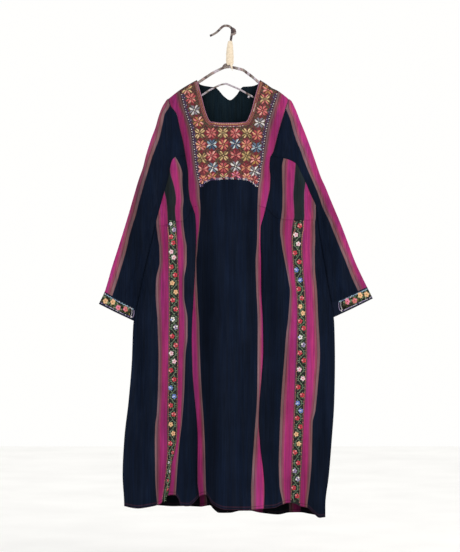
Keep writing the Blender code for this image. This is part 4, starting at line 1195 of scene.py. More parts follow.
class Stitches:
    """Small raised shapes on one face of the dress, joined in one mesh."""

    def __init__(self, face, base):
        self.face = face
        self.base = base
        self.spots = []
        self.faces = []
        self.colours = []
        self.count = 0

    def put(self, u, d, lift, faces, colours):
        """u, d and lift are arrays of one row per shape; faces are corner numbers within a shape."""
        shapes, corners = u.shape
        starts = self.count + np.arange(shapes)[:, None, None] * corners
        for block in faces:
            block = np.array(block)[None]
            self.faces.append((starts + block).reshape(-1, block.shape[2]))
            self.colours.append(
                np.repeat(np.array([COLOURS.index(name) for name in colours]), block.shape[1])
            )
        self.spots.append(np.stack([u.ravel(), d.ravel(), lift.ravel()], axis=1))
        self.count += shapes * corners

    def threads(self, starts, ends, width, height, colours, lift=0.0):
        """Straight stitches, thin at both ends."""
        if not len(starts):
            return
        starts = np.array(starts, dtype=float)
        ends = np.array(ends, dtype=float)
        run = ends - starts
        length = np.maximum(np.hypot(run[:, 0], run[:, 1]), 1e-6)
        side = np.stack([-run[:, 1], run[:, 0]], axis=1) / length[:, None]
        us, ds, lifts = [], [], []
        for along, wide, high in (
            (0.0, 0.45, 0.0), (0.18, 1.0, 0.85), (0.5, 1.05, 1.0), (0.82, 1.0, 0.85), (1.0, 0.45, 0.0)
        ):
            middle = starts + run * along
            for off, top in ((-0.5, 0.0), (0.0, 1.0), (0.5, 0.0)):
                place = middle + side * (off * wide * width)
                us.append(place[:, 0])
                ds.append(place[:, 1])
                lifts.append(np.full(len(place), lift + (high * height * (0.25 + 0.75 * top))))
        quads = [(3 * k + j, 3 * k + j + 1, 3 * k + j + 4, 3 * k + j + 3) for k in range(4) for j in range(2)]
        self.put(np.stack(us, axis=1), np.stack(ds, axis=1), np.stack(lifts, axis=1), [quads], colours)

    def blobs(self, centres, radius_a, radius_b, angles, height, colours, lift=0.0, sides=8):
        """Low domes, longer along their angle."""
        if not len(centres):
            return
        centres = np.array(centres, dtype=float)
        angles = np.asarray(angles, dtype=float) * np.ones(len(centres))
        turn = np.linspace(0, 2 * math.pi, sides, endpoint=False)
        us, ds, lifts = [], [], []
        for share, high in ((1.0, 0.0), (0.72, 0.8)):
            a = np.cos(turn)[None] * share * radius_a
            b = np.sin(turn)[None] * share * radius_b
            us.append(centres[:, 0:1] + a * np.cos(angles)[:, None] - b * np.sin(angles)[:, None])
            ds.append(centres[:, 1:2] + a * np.sin(angles)[:, None] + b * np.cos(angles)[:, None])
            lifts.append(np.full(us[-1].shape, lift + high * height))
        us.append(centres[:, 0:1])
        ds.append(centres[:, 1:2])
        lifts.append(np.full((len(centres), 1), lift + height))
        quads = [(k, (k + 1) % sides, sides + (k + 1) % sides, sides + k) for k in range(sides)]
        tips = [(sides + k, sides + (k + 1) % sides, 2 * sides) for k in range(sides)]
        self.put(np.hstack(us), np.hstack(ds), np.hstack(lifts), [quads, tips], colours)

    def path(self, points, width, height, colour, lift=0.0):
        """A cord laid along a line."""
        points = np.array(points, dtype=float)
        run = np.gradient(points, axis=0)
        run /= np.maximum(np.hypot(run[:, 0], run[:, 1]), 1e-6)[:, None]
        side = np.stack([-run[:, 1], run[:, 0]], axis=1)
        us, ds, lifts = [], [], []
        profile = ((-0.5, 0.0), (-0.36, 0.7), (0.0, 1.0), (0.36, 0.7), (0.5, 0.0))
        for off, top in profile:
            place = points + side * (off * width)
            us.append(place[:, 0])
            ds.append(place[:, 1])
            lifts.append(np.full(len(place), lift + top * height))
        us = np.stack(us, axis=1).ravel()[None]
        ds = np.stack(ds, axis=1).ravel()[None]
        lifts = np.stack(lifts, axis=1).ravel()[None]
        quads = [
            (5 * k + j, 5 * k + j + 1, 5 * k + j + 6, 5 * k + j + 5) for k in range(len(points) - 1)
            for j in range(4)
        ]
        self.put(us, ds, lifts, [quads], [colour])

    def build(self, name):
        spots = np.vstack(self.spots)
        points = self.face.points(spots[:, 0], spots[:, 1], self.base + spots[:, 2])
        faces = []
        for block in self.faces:
            faces.extend(block.tolist())
        if self.face.sign < 0:
            faces = [corners[::-1] for corners in faces]
        mesh = bpy.data.meshes.new(name)
        mesh.from_pydata(points.tolist(), [], faces)
        colours = np.concatenate(self.colours)
        used = sorted(set(colours.tolist()))
        for index in used:
            mesh.materials.append(THREAD_LOOKS[COLOURS[index]])
        lookup = np.zeros(len(COLOURS), dtype=np.int32)
        lookup[used] = np.arange(len(used))
        mesh.polygons.foreach_set("material_index", lookup[colours])
        mesh.shade_smooth()
        made = bpy.data.objects.new(name, mesh)
        DRESS.objects.link(made)
        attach(made, "root")
        return made


def plain_cloth(name, colour, grain=0.0006, roughness=0.8):
    """Woven cotton of one colour, uneven."""
    nodes = Nodes(name, roughness, 0.15)
    tone = nodes.mapped(nodes.noise((1, 1, 1), 160.0, 4.0), 0.3, 0.7, 0.72, 1.25)
    combine = nodes.add("ShaderNodeCombineColor")
    for key in ("Red", "Green", "Blue"):
        nodes.link(tone, combine.inputs[key])
    nodes.link(
        nodes.mix("MULTIPLY", 1.0, colour, combine.outputs["Color"]), nodes.shader.inputs["Base Color"]
    )
    nodes.bump(nodes.weave(grain), 0.4, 0.0002)
    return nodes.material


def laid_grid(name, u, d, lift, look, upper=None, wall=0.5, across=None):
    """A thin sheet on the front, over a grid of places."""
    y = front_depth(u, d, upper)
    normal = FRONT.points(u, d, np.ones_like(u)) - FRONT.points(u, d, np.zeros_like(u))
    points = np.stack([u + MIDDLE_X, y, NECK_Z - d], axis=-1) * MM + normal * lift
    if across is None:
        across = np.repeat(np.linspace(0, 1, u.shape[1])[None], u.shape[0], axis=0)
    uv = np.stack([across, d * MM], axis=-1)
    return grid_object(name, points, uv, np.ones(u.shape, dtype=bool), False, look, wall, 1.0)


# Chest panel

ARCH = Smooth(
    [float(u_of(x)) for x in (198, 200.3, 204, 210, 220, 230, 240, 247, 252, 257, 259)],
    [float(d_of(y)) for y in (188.2, 187.2, 184, 181, 180, 179.5, 180, 181, 183.5, 188, 188.6)],
)


def neck_low(u):
    return NECK_BOTTOM - neck_rise(u)


def chest_panel():
    """The straps beside the neck and the part below it, in one grid."""
    total = sum(FRONT_COUNTS)
    first, last = FRONT_COUNTS[0], total - FRONT_COUNTS[-1]
    neck_first = first + FRONT_COUNTS[1]
    neck_last = neck_first + FRONT_COUNTS[2]
    columns = np.arange(first, last + 1)
    heads = []
    for column in columns:
        d = 60.0
        for _ in range(60):
            d = 0.5 * (d + float(shoulder_top(column_at(column, d))))
        heads.append(d)
    top = np.array(heads) + 1.6
    low_u = np.array([float(column_at(column, NECK_BOTTOM)) for column in columns])
    low = neck_low(low_u)
    end_u = np.array([float(column_at(column, 330.0)) for column in columns])
    end = ARCH(end_u)
    rows = [top + (low - top) * share ** 1.3 for share in np.linspace(0, 1, 34)]
    strap_rows = len(rows) - 1
    rows += [low + (end - low) * share for share in np.linspace(0, 1, 48)[1:]]
    d = np.array(rows)
    u = np.array([[float(column_at(column, value)) for column, value in zip(columns, row)] for row in d])
    y = front_depth(u, d, True)
    normal = FRONT.points(u, d, np.ones_like(u)) - FRONT.points(u, d, np.zeros_like(u))
    points = np.stack([u + MIDDLE_X, y, NECK_Z - d], axis=-1) * MM + normal * 0.25
    keep = np.ones(u.shape, dtype=bool)
    keep[:strap_rows, (neck_first - first) + 1:(neck_last - first)] = False
    look = plain_cloth("stitched_ground", srgb(56, 32, 32), 0.0011)
    made = grid_object(
        "chest_panel_cloth", points, np.stack([u * MM, d * MM], axis=-1), keep, False, look, 0.5, 1.0
    )
    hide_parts("chest_panel")
    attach(made, "root")
    return made


chest_panel()

# Stars of the chest: picture place and two thread colours
STARS = (
    (200, 134, "cream", "olive"), (211.3, 133.6, "rose", "red"), (223, 133.6, "cream", "khaki"),
    (235.3, 133.8, "rose", "red"),
    (247, 134, "cream", "khaki"), (257, 135.6, "salmon", "red"),
    (201, 146, "salmon", "rose"), (212, 145, "sky", "blue"), (223.5, 145, "salmon", "red"),
    (235.5, 144.6, "sky", "blue"),
    (246.6, 145.6, "salmon", "rose"), (256.3, 148, "sky", "blue"),
    (202, 158.6, "cream", "khaki"), (212, 156.4, "rose", "red"), (223.3, 156.2, "cream", "khaki"),
    (235.6, 155.8, "rose", "wine"),
    (246.4, 156.6, "straw", "khaki"), (255.4, 160.2, "rose", "orange"),
    (203.2, 169.6, "rose", "wine"), (213, 168, "white", "steel"), (223.6, 168, "salmon", "red"),
    (235.6, 166.8, "white", "ash"),
    (246, 168.4, "salmon", "wine"), (254.2, 171.8, "white", "ash"),
    (187.2, 89.6, "cream", "rose"), (191, 98.8, "rose", "red"), (194.6, 110.6, "white", "ash"),
    (198.4, 122.2, "rose", "orange"),
    (268, 90, "rose", "orange"), (264.8, 99.6, "cream", "rose"), (262.2, 111.2, "rose", "red"),
    (259.6, 123.2, "white", "ash"),
)
HALF_STARS = (
    (212, 177.6, "rose", "orange"), (224, 177.8, "cream", "rose"), (235.8, 176.2, "pink", "red"),
    (246.6, 177.8, "salmon", "rose"), (254, 180.4, "rose", "wine"), (203.4, 180.2, "rose", "salmon")
)


def inside_chest(u, d, margin):
    """Which places lie on the chest panel, away from its edges."""
    ok = (u > INNER_LEFT(d) + margin) & (u < INNER_RIGHT(d) - margin) & (d < ARCH(u) - margin)
    hole = (u > NECK_LEFT(d) - margin) & (u < NECK_RIGHT(d) + margin) & (d < neck_low(u) + margin)
    return ok & ~hole & (d > shoulder_top(u) + margin + 3.0)


TINTS = {
    "cream": "straw", "salmon": "peach", "rose": "pink_pale", "red": "rose", "sky": "white",
    "white": "silver", "wine": "red", "blue": "steel", "orange": "gold", "khaki": "straw"
}
DIAGONAL = {
    "cream": "olive", "salmon": "dark_red", "rose": "dark_red", "sky": "navy", "white": "moss",
    "pink": "dark_red", "straw": "olive"
}


def star(stitches, x, y, light, dark, radius, rng):
    """Eight petals in pairs beside the diagonals, each of three long stitches."""
    u, d = float(u_of(x)), float(d_of(y))
    starts, ends, colours = [], [], []
    pinwheel = rng.random() > 0.35
    for corner in range(4):
        diagonal = math.radians(45 + 90 * corner) + rng.normal(0, 0.04)
        for turn in (-1, 1):
            first = turn < 0 if pinwheel else (corner + (turn > 0)) % 2 == 0
            petal = light if first else dark
            if dark in ("khaki", "olive") and light == "cream":
                petal = "cream" if rng.random() > 0.3 else "khaki"
            near_tint = TINTS.get(petal, petal)
            for degrees, near, reach in ((13, 0.16, 0.98), (23, 0.2, 0.92), (31, 0.34, 0.74)):
                degrees = degrees * 0.76 if light == "cream" else degrees
                angle = diagonal + turn * math.radians(degrees)
                far = radius * reach * rng.uniform(0.94, 1.06)
                starts.append((u + math.cos(angle) * radius * near, d + math.sin(angle) * radius * near))
                ends.append((u + math.cos(angle) * far, d + math.sin(angle) * far))
                colours.append(petal if rng.random() > 0.35 else near_tint)
    starts, ends = np.array(starts), np.array(ends)
    fits = inside_chest(starts[:, 0], starts[:, 1], 2.0) & inside_chest(ends[:, 0], ends[:, 1], 0.5)
    stitches.threads(
        starts[fits], ends[fits], 2.2, 0.9, [colour for colour, ok in zip(colours, fits) if ok], 0.45
    )
    line = DIAGONAL[light]
    starts, ends = [], []
    for corner in range(4):
        angle = math.radians(45 + 90 * corner)
        starts.append((u, d))
        ends.append((u + math.cos(angle) * radius * 0.98, d + math.sin(angle) * radius * 0.98))
    starts, ends = np.array(starts), np.array(ends)
    fits = inside_chest(starts[:, 0], starts[:, 1], 2.0) & inside_chest(ends[:, 0], ends[:, 1], 0.5)
    stitches.threads(
        starts[fits], ends[fits], 2.4 if light == "cream" else 2.0, 0.5, [line] * int(fits.sum()), 0.9
    )
    if inside_chest(np.array(u), np.array(d), 2.0):
        stitches.blobs([(u, d)], 1.9, 1.9, 0.0, 0.6, [light], 1.5, 6)


def lozenge(stitches, u, d, upright, colour, size=7.6):
    starts, ends, colours = [], [], []
    for k in range(-3, 4):
        half = size * (1 - abs(k) / 3.9)
        if upright:
            starts.append((u + k * 1.5, d - half))
            ends.append((u + k * 1.5, d + half))
        else:
            starts.append((u - half, d + k * 1.5))
            ends.append((u + half, d + k * 1.5))
        colours.append(colour)
    starts, ends = np.array(starts), np.array(ends)
    fits = inside_chest(starts[:, 0], starts[:, 1], 1.0) & inside_chest(ends[:, 0], ends[:, 1], 1.0)
    stitches.threads(
        starts[fits], ends[fits], 1.9, 0.7, [colour for colour, ok in zip(colours, fits) if ok], 0.4
    )


def chest_stitches():
    rng = np.random.default_rng(11)
    work = Stitches(FRONT, 0.8)
    # Slanted filling between the stars
    us, ds = np.meshgrid(np.arange(-160, 172, 2.9), np.arange(4, 340, 3.3))
    us = us.ravel() + rng.uniform(-0.8, 0.8, us.size)
    ds = ds.ravel() + rng.uniform(-0.8, 0.8, ds.size)
    fits = inside_chest(us, ds, 2.6)
    us, ds = us[fits], ds[fits]
    cell = np.floor(us / 17.5) + np.floor(ds / 17.5)
    slant = np.where(cell % 2 == 0, 1.0, -1.0)
    starts = np.stack([us - 2.1, ds - 2.1 * slant], axis=1)
    ends = np.stack([us + 2.1, ds + 2.1 * slant], axis=1)
    pool = np.array(["olive", "umber", "brown", "dark_red", "maroon", "olive", "dark_red", "maroon", "moss"])
    work.threads(starts, ends, 1.9, 0.5, pool[rng.integers(0, len(pool), len(us))].tolist())
    for x, y, light, dark in STARS:
        star(work, x, y, light, dark, 18.6, rng)
    for x, y, light, dark in HALF_STARS:
        star(work, x, y, light, dark, 15.5, rng)
    places = [(x, y) for x, y, _, _ in STARS + HALF_STARS]
    for i, (x0, y0) in enumerate(places):
        for x1, y1 in places[i + 1:]:
            gap = math.hypot(x1 - x0, y1 - y0)
            if 7.5 < gap < 13.5:
                sideways = abs(x1 - x0) > abs(y1 - y0)
                if sideways and abs(y1 - y0) > 4.5 or not sideways and abs(x1 - x0) > 5.5:
                    continue
                colour = "dark_red" if rng.random() > 0.15 else "wine"
                lozenge(work, float(u_of(0.5 * (x0 + x1))), float(d_of(0.5 * (y0 + y1))), sideways, colour)
    # Outer borders: a dark band under small slanted stitches
    for line, sign in ((INNER_LEFT, 1.0), (INNER_RIGHT, -1.0)):
        d = np.arange(46.0 if sign > 0 else 44.0, 334.0, 1.7)
        u = line(d)
        base = ["ink" if k % 3 else "purple" for k in range(len(d))]
        work.threads(
            np.stack([u + sign * 0.8, d], axis=1), np.stack([u + sign * 12.4, d + 0.8], axis=1), 2.3, 0.6,
            base
        )
        pale = np.array(["white", "lavender", "white", "silver", "white"])
        for offset, slope, part in ((0.8, 1.4, 0), (7.0, -1.6, 1)):
            at = np.arange(d[0] + 3.9 * part, 333.0, 7.8)
            place = line(at)
            names = [
                ("purple", "lavender", "dark_red")[k % 3] if part else pale[k % 5] for k in range(len(at))
            ]
            work.threads(
                np.stack([place + sign * offset, at], axis=1),
                np.stack([place + sign * (offset + 3.2), at + slope], axis=1), 1.9, 0.6, names, 0.5
            )
    # Lower edge
    u = np.arange(-86.0, 90.0, 2.6)
    d = ARCH(u)
    work.threads(
        np.stack([u, d - 6.4], axis=1), np.stack([u + 0.6, d - 0.8], axis=1), 2.4, 0.6,
        ["ink" if k % 3 else "purple" for k in range(len(u))], 0.25
    )
    pale = np.array(["white", "lavender", "white", "dark_red", "purple", "lavender"])
    u = np.arange(-86.0, 89.0, 3.9)
    work.threads(
        np.stack([u, ARCH(u) - 6.0], axis=1), np.stack([u + 1.6, ARCH(u) + 1.2], axis=1), 1.7, 0.7,
        pale[rng.integers(0, len(pale), len(u))].tolist(), 0.5
    )
    return work.build("chest_panel_stitches")


chest_stitches()


# Binding round the neck

def neck_outline(offset):
    """The neck's edge from the left shoulder round to the right one, moved out by an offset."""
    left_d = np.arange(6.0, 128.0, 3.0)
    right_d = left_d[::-1]
    corner_l = np.array([[NECK_LEFT(132.0) + 1.2, 130.6], [-55.0, 133.0], [-51.5, 134.2]])
    across = np.arange(-46.0, 50.0, 4.0)
    bottom = np.stack([across, neck_low(across)], axis=1)
    corner_r = np.array([[54.0, 134.2], [57.6, 133.0], [NECK_RIGHT(132.0) - 1.2, 130.6]])
    line = np.vstack([
        np.stack([NECK_LEFT(left_d), left_d], axis=1), corner_l, bottom, corner_r,
        np.stack([NECK_RIGHT(right_d), right_d], axis=1),
    ])
    run = np.gradient(line, axis=0)
    run /= np.hypot(run[:, 0], run[:, 1])[:, None]
    out = np.stack([-run[:, 1], run[:, 0]], axis=1)
    smooth = out.copy()
    for _ in range(3):
        smooth[1:-1] = (smooth[:-2] + smooth[1:-1] * 2 + smooth[2:]) / 4
    smooth /= np.hypot(smooth[:, 0], smooth[:, 1])[:, None]
    return line + smooth * offset


def neck_binding():
    inner, outer = neck_outline(-0.6), neck_outline(10.6)
    u = np.stack([inner[:, 0] + (outer[:, 0] - inner[:, 0]) * k / 6 for k in range(7)], axis=1)
    d = np.stack([inner[:, 1] + (outer[:, 1] - inner[:, 1]) * k / 6 for k in range(7)], axis=1)
    made = laid_grid(
        "neck_binding_cloth", u, d, 1.0, plain_cloth("binding_cotton_woven", srgb(98, 44, 54)), True, 0.6
    )
    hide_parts("neck_binding")
    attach(made, "root")
    work = Stitches(FRONT, 1.6)
    work.path(neck_outline(0.1), 2.8, 1.0, "pale_mauve", -0.3)
    work.path(neck_outline(2.4), 1.7, 0.8, "dark_red")
    work.path(neck_outline(4.2), 1.6, 0.9, "orange")
    work.path(neck_outline(5.9), 1.5, 0.8, "wine")
    work.path(neck_outline(7.6), 1.7, 0.8, "mauve")
    work.path(neck_outline(9.2), 1.3, 0.7, "terracotta")
    # Tapes that show beside the binding at the shoulders
    for at_u, first, end, name in (
        (-102.0, 9.0, 36.0, "ash"), (-99.0, 8.0, 30.0, "lavender"), (105.0, 8.0, 44.0, "straw"),
        (87.0, 74.0, 100.0, "white")
    ):
        level = np.arange(first, end, 3.4)
        lean = (level - first) * (0.31 if at_u < 0 else -0.30)
        work.threads(
            np.stack([at_u + lean, level], axis=1),
            np.stack([at_u + lean + (0.9 if at_u < 0 else -0.9), level + 3.1], axis=1), 1.9, 0.6,
            [name] * len(level), 0.3
        )
    edge = neck_outline(10.2)
    names = ["brown" if k % 3 else "dark_red" for k in range(len(edge) - 1)]
    work.threads(edge[:-1], edge[1:], 1.8, 0.7, names, -0.3)
    across = np.arange(-44.0, 46.0, 4.2)
    low = neck_low(across) + 9.6
    cycle = ("white", "lavender", "purple", "lavender", "peach", "white", "wine")
    work.threads(
        np.stack([across, low], axis=1), np.stack([across + 3.6, low + 0.8], axis=1), 1.8, 0.6,
        [cycle[k % 7] for k in range(len(across))], 0.2
    )
    across = np.arange(-44.0, 46.0, 3.4)
    low = neck_low(across) + 2.9
    work.threads(
        np.stack([across, low - 0.5], axis=1), np.stack([across + 3.0, low + 0.5], axis=1), 2.2, 0.6,
        ["peach" if k % 2 else "orange" for k in range(len(across))], 0.5
    )
    work.build("neck_binding_stitches")
    return made


neck_binding()


# Ribbons

def ribbon_cloth(name):
    nodes = Nodes(name, 0.7, 0.2)
    where = nodes.add("ShaderNodeUVMap", uv_map="weave")
    split = nodes.add("ShaderNodeSeparateXYZ")
    nodes.link(where.outputs["UV"], split.inputs["Vector"])
    off = nodes.math("ABSOLUTE", nodes.math("SUBTRACT", split.outputs["X"], 0.5), 0.0)
    edge = nodes.mapped(off, 0.43, 0.46, 0.0, 1.0)
    base = nodes.mix("MIX", edge, srgb(12, 12, 14), srgb(70, 54, 48))
    tone = nodes.mapped(nodes.noise((1, 1, 1), 300.0, 3.0), 0.3, 0.7, 0.7, 1.3)
    combine = nodes.add("ShaderNodeCombineColor")
    for key in ("Red", "Green", "Blue"):
        nodes.link(tone, combine.inputs[key])
    nodes.link(nodes.mix("MULTIPLY", 1.0, base, combine.outputs["Color"]), nodes.shader.inputs["Base Color"])
    nodes.bump(nodes.weave(0.0005), 0.4, 0.0002)
    return nodes.material


RIBBON_LOOK = ribbon_cloth("ribbon_black")
FLOWERS_RIGHT = (
    (299.5, 226, "red"), (295.5, 235, "pink"), (298, 244, "pink"), (294.5, 253, "red"), (299, 262, "red"),
    (296, 270, "azure"),
    (300, 280, "azure"), (298, 289, "red"), (301.5, 298, "red"), (300, 306.5, "peach"), (302.5, 313, "peach"),
    (299.5, 321, "red"),
    (303.5, 328, "red"), (300, 337, "white"), (303, 344.5, "lavender"), (299.5, 352.5, "red"),
    (303.5, 360, "red"), (299, 369, "pink"),
    (302.5, 378, "pink"), (298, 386.5, "red"), (302, 394.5, "red"), (297.5, 402.5, "azure"),
    (300.5, 410, "azure"), (297, 417.5, "red"),
    (300.5, 426, "red"), (296, 433.5, "peach"), (298.5, 443, "peach"), (294.5, 451.5, "red"),
    (298, 462, "red"), (294.5, 470, "lavender"),
    (297.5, 478, "lavender"), (293.5, 487, "red"), (297, 495, "red"),
)
FLOWERS_LEFT = (
    (171, 224, "white"), (175, 230, "lavender"), (171.5, 237, "red"), (173.5, 243, "red"), (171, 252, "pink"),
    (174, 257.5, "pink"),
    (171, 267, "red"), (175.5, 275, "red"), (172.5, 283, "peach"), (176, 292, "peach"), (173, 300, "red"),
    (176, 309, "red"),
    (173, 319, "white"), (176, 327, "lavender"), (172.5, 336, "red"), (176, 345, "red"), (171.5, 353, "pink"),
    (174.5, 361, "pink"),
    (171, 370, "red"), (174.5, 379, "red"), (170.5, 387.5, "azure"), (174.5, 396, "azure"), (171, 405, "red"),
    (174, 414, "red"),
    (171, 424, "peach"), (173.5, 433, "peach"), (170, 443, "red"), (173, 452, "red"), (169, 462, "white"),
    (170, 471, "white"),
    (168, 480, "red"), (169, 489, "red"),
)


def flower(work, u, d, colour, size, squeeze=1.0, turn=0.3):
    """Five round petals, one or two in a paler colour as a painted highlight, and a small centre."""
    angles = turn + np.arange(5) * 2 * math.pi / 5
    centres = np.stack([u + np.cos(angles) * size * 0.56 * squeeze, d + np.sin(angles) * size * 0.56], axis=1)
    petals, middle, glint = {
        "red": ("crimson", "dark_red", "coral"), "pink": ("blush", "rose", "white"),
        "azure": ("azure", "white", "pale_azure"),
        "peach": ("peach", "orange", "cream"), "white": ("white", "purple", "pale_azure"),
        "lavender": ("lavender", "purple", "white"),
    }[colour]
    # The third petal, and on some red and lavender flowers the fifth, take the glint colour: a painted
    # highlight.
    names = [
        petals, petals, glint, petals, glint if colour in ("red", "lavender") and int(u * 7) % 2 else petals
    ]
    work.blobs(centres, size * 0.44, size * 0.40, angles, 0.9, names, 0.5)
    work.blobs([(u, d)], size * 0.26, size * 0.26, 0.0, 0.6, [middle], 1.1)


def ribbon(side):
    left = side == "left"
    table = GORE_LEFT_STRIPES if left else GORE_RIGHT_STRIPES
    inner, outer = by_height(table, 2), by_height(table, 3)
    levels = np.concatenate(
        [[388.9], np.arange(394.0, 1300.0, 5.0), np.arange(1300.0, 1328.0, 3.0), [1328.6]]
    )
    columns = 9
    grid_levels = np.repeat(levels[:, None], columns, axis=1)
    share = np.repeat(np.linspace(-0.02, 1.02, columns)[None], len(levels), axis=0)
    d = grid_levels.copy()
    for _ in range(6):
        u = inner(d) + (outer(d) - inner(d)) * share
        d = grid_levels + bend_at_tuck(grid_levels, u) + to_hem(grid_levels, FRONT_HEM(u))
    if left:
        u, d, share = u[:, ::-1], d[:, ::-1], share[:, ::-1]
    made = laid_grid("ribbon_" + side + "_cloth", u, d, 0.3, RIBBON_LOOK, False, 0.5)
    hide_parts("ribbon_" + side)
    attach(made, "root")

    work = Stitches(FRONT, 0.8)
    flowers = FLOWERS_LEFT if left else FLOWERS_RIGHT
    rng = np.random.default_rng(5 if left else 6)

    def across(d_at, place):
        return inner(d_at) + (outer(d_at) - inner(d_at)) * place

    places = [(float(u_of(x)), float(d_of(y)), colour) for x, y, colour in flowers]
    for index, (u_at, d_at, colour) in enumerate(places):
        width = abs(float(outer(d_at) - inner(d_at)))
        squeeze = min(width / 30.0, 1.0)
        half = 8.0 * (1.0 if squeeze > 0.8 else max(squeeze, 0.55))
        low, high = sorted((float(inner(d_at)), float(outer(d_at))))
        u_at = min(max(u_at, low + half * 0.95), high - half * 0.95)
        flower(work, u_at, d_at, colour, half, squeeze, 0.3 + 0.4 * (index % 3))
    # Vine between the flowers, with leaves on both sides
    stops_d = [place[1] for place in places]
    stops_share = []
    for u_at, d_at, _ in places:
        share_at = (u_at - float(inner(d_at))) / (float(outer(d_at)) - float(inner(d_at)))
        stops_share.append(0.74 if share_at < 0.5 else 0.26)
    vine = Smooth([stops_d[0] - 26] + stops_d + [1326], [0.5] + stops_share + [0.5])
    run_d = np.arange(442.0, 1316.0, 2.5)
    work.path(np.stack([across(run_d, vine(run_d)), run_d], axis=1), 1.6, 0.6, "vine", 0.1)
    starts, ends, names = [], [], []
    centres, angles, leaf_names = [], [], []
    for (u_at, d_at, _), share_at in zip(places, stops_share):
        squeeze = min(abs(float(outer(d_at) - inner(d_at))) / 30.0, 1.0)
        root = float(across(d_at, float(vine(d_at))))
        toward = np.sign(u_at - root) or 1.0
        for down, tilt, reach in ((-7.0, -0.9, 3.4), (6.0, 0.8, 3.2), (0.5, 0.1, 2.6)):
            base_u = float(across(d_at + down, float(vine(d_at + down))))
            centres.append((base_u - toward * 3.0 * squeeze, d_at + down))
            angles.append(tilt * toward)
            leaf_names.append("vine" if rng.random() > 0.3 else "leaf")
        starts.append((root, d_at))
        ends.append((u_at, d_at - 2.0))
        names.append("leaf")
        for tilt in (-1.0, 1.0):
            centres.append((u_at + toward * 1.0, d_at + tilt * 8.6))
            angles.append(0.5 * tilt * toward)
            leaf_names.append("leaf" if rng.random() > 0.5 else "vine")
    for level in np.arange(440.0, 1312.0, 6.4):
        share_at = float(vine(level))
        centres.append((float(across(level, 1.0 - share_at + rng.uniform(-0.16, 0.16))), level))
        angles.append(rng.uniform(-1.4, 1.4))
        leaf_names.append(("vine", "leaf", "sage")[int(rng.integers(0, 3))])
    low_high = [sorted((float(inner(d_at)), float(outer(d_at)))) for _, d_at in centres]
    centres = [
        (min(max(u_at, low + 3.0), high - 3.0), d_at) for (u_at, d_at), (low, high) in zip(centres, low_high)
    ]
    fits = [438.0 < d_at < 1312.0 for _, d_at in centres]
    centres = [value for value, ok in zip(centres, fits) if ok]
    angles = [value for value, ok in zip(angles, fits) if ok]
    leaf_names = [value for value, ok in zip(leaf_names, fits) if ok]
    work.blobs(centres, 3.0, 1.3, np.array(angles), 0.6, leaf_names, 0.15, 7)
    work.threads(starts, ends, 1.5, 0.5, names, 0.1)
    for place in (0.045, 0.955):
        levels_d = np.arange(392.0 if not left else 400.0, 1318.0, 4.4)
        place_u = across(levels_d, place)
        at_d = levels_d + bend_at_tuck(levels_d, place_u) + to_hem(levels_d, FRONT_HEM(place_u))
        work.threads(
            np.stack([place_u, at_d], axis=1), np.stack([place_u, at_d + 2.9], axis=1), 1.9, 0.5,
            ["tan" if k % 3 else "rose" for k in range(len(levels_d))]
        )
    work.build("ribbon_" + side + "_flowers")
    return made


for side in ("left", "right"):
    ribbon(side)

# Cuffs: flowered ribbon round each sleeve mouth

CUFF_WIDTH = 35.0


class Patch:
    """A grid of points with outward normals, addressed by millimetres along its columns and rows."""

    def __init__(self, points, outward, across, along):
        self.grid = points
        down = np.gradient(points, axis=0)
        side = np.gradient(points, axis=1)
        normal = np.cross(side, down)
        normal /= np.maximum(np.linalg.norm(normal, axis=2), 1e-12)[..., None]
        facing = np.sum(normal * outward[:, :, :], axis=2)
        normal *= np.where(np.median(facing) < 0, -1.0, 1.0)
        self.normal = normal
        self.across = across
        self.along = along
        self.sign = 1.0

    def points(self, a, b, lift):
        i = np.clip(np.interp(b, self.along, np.arange(len(self.along))), 0, len(self.along) - 1.001)
        j = np.clip(np.interp(a, self.across, np.arange(len(self.across))), 0, len(self.across) - 1.001)
        i0, j0 = i.astype(int), j.astype(int)
        fi, fj = (i - i0)[:, None], (j - j0)[:, None]

        def mixed(grid):
            top = grid[i0, j0] * (1 - fj) + grid[i0, j0 + 1] * fj
            low = grid[i0 + 1, j0] * (1 - fj) + grid[i0 + 1, j0 + 1] * fj
            return top * (1 - fi) + low * fi

        return mixed(self.grid) + mixed(self.normal) * (lift * MM)[:, None]


CUFF_FLOWERS = {
    # along the mouth from the fold, up from the edge, colour
    "left": ((14.4, 15.5, "peach"), (37.4, 23.0, "peach"), (59.0, 16.0, "pink"), (82.0, 21.5, "crimson")),
    "right": ((12.0, 19.0, "peach"), (32.0, 24.0, "peach"), (54.0, 17.5, "crimson"), (76.5, 23.5, "pink")),
}
RIBBON_ENDS = {"left": 102.0, "right": 97.0}


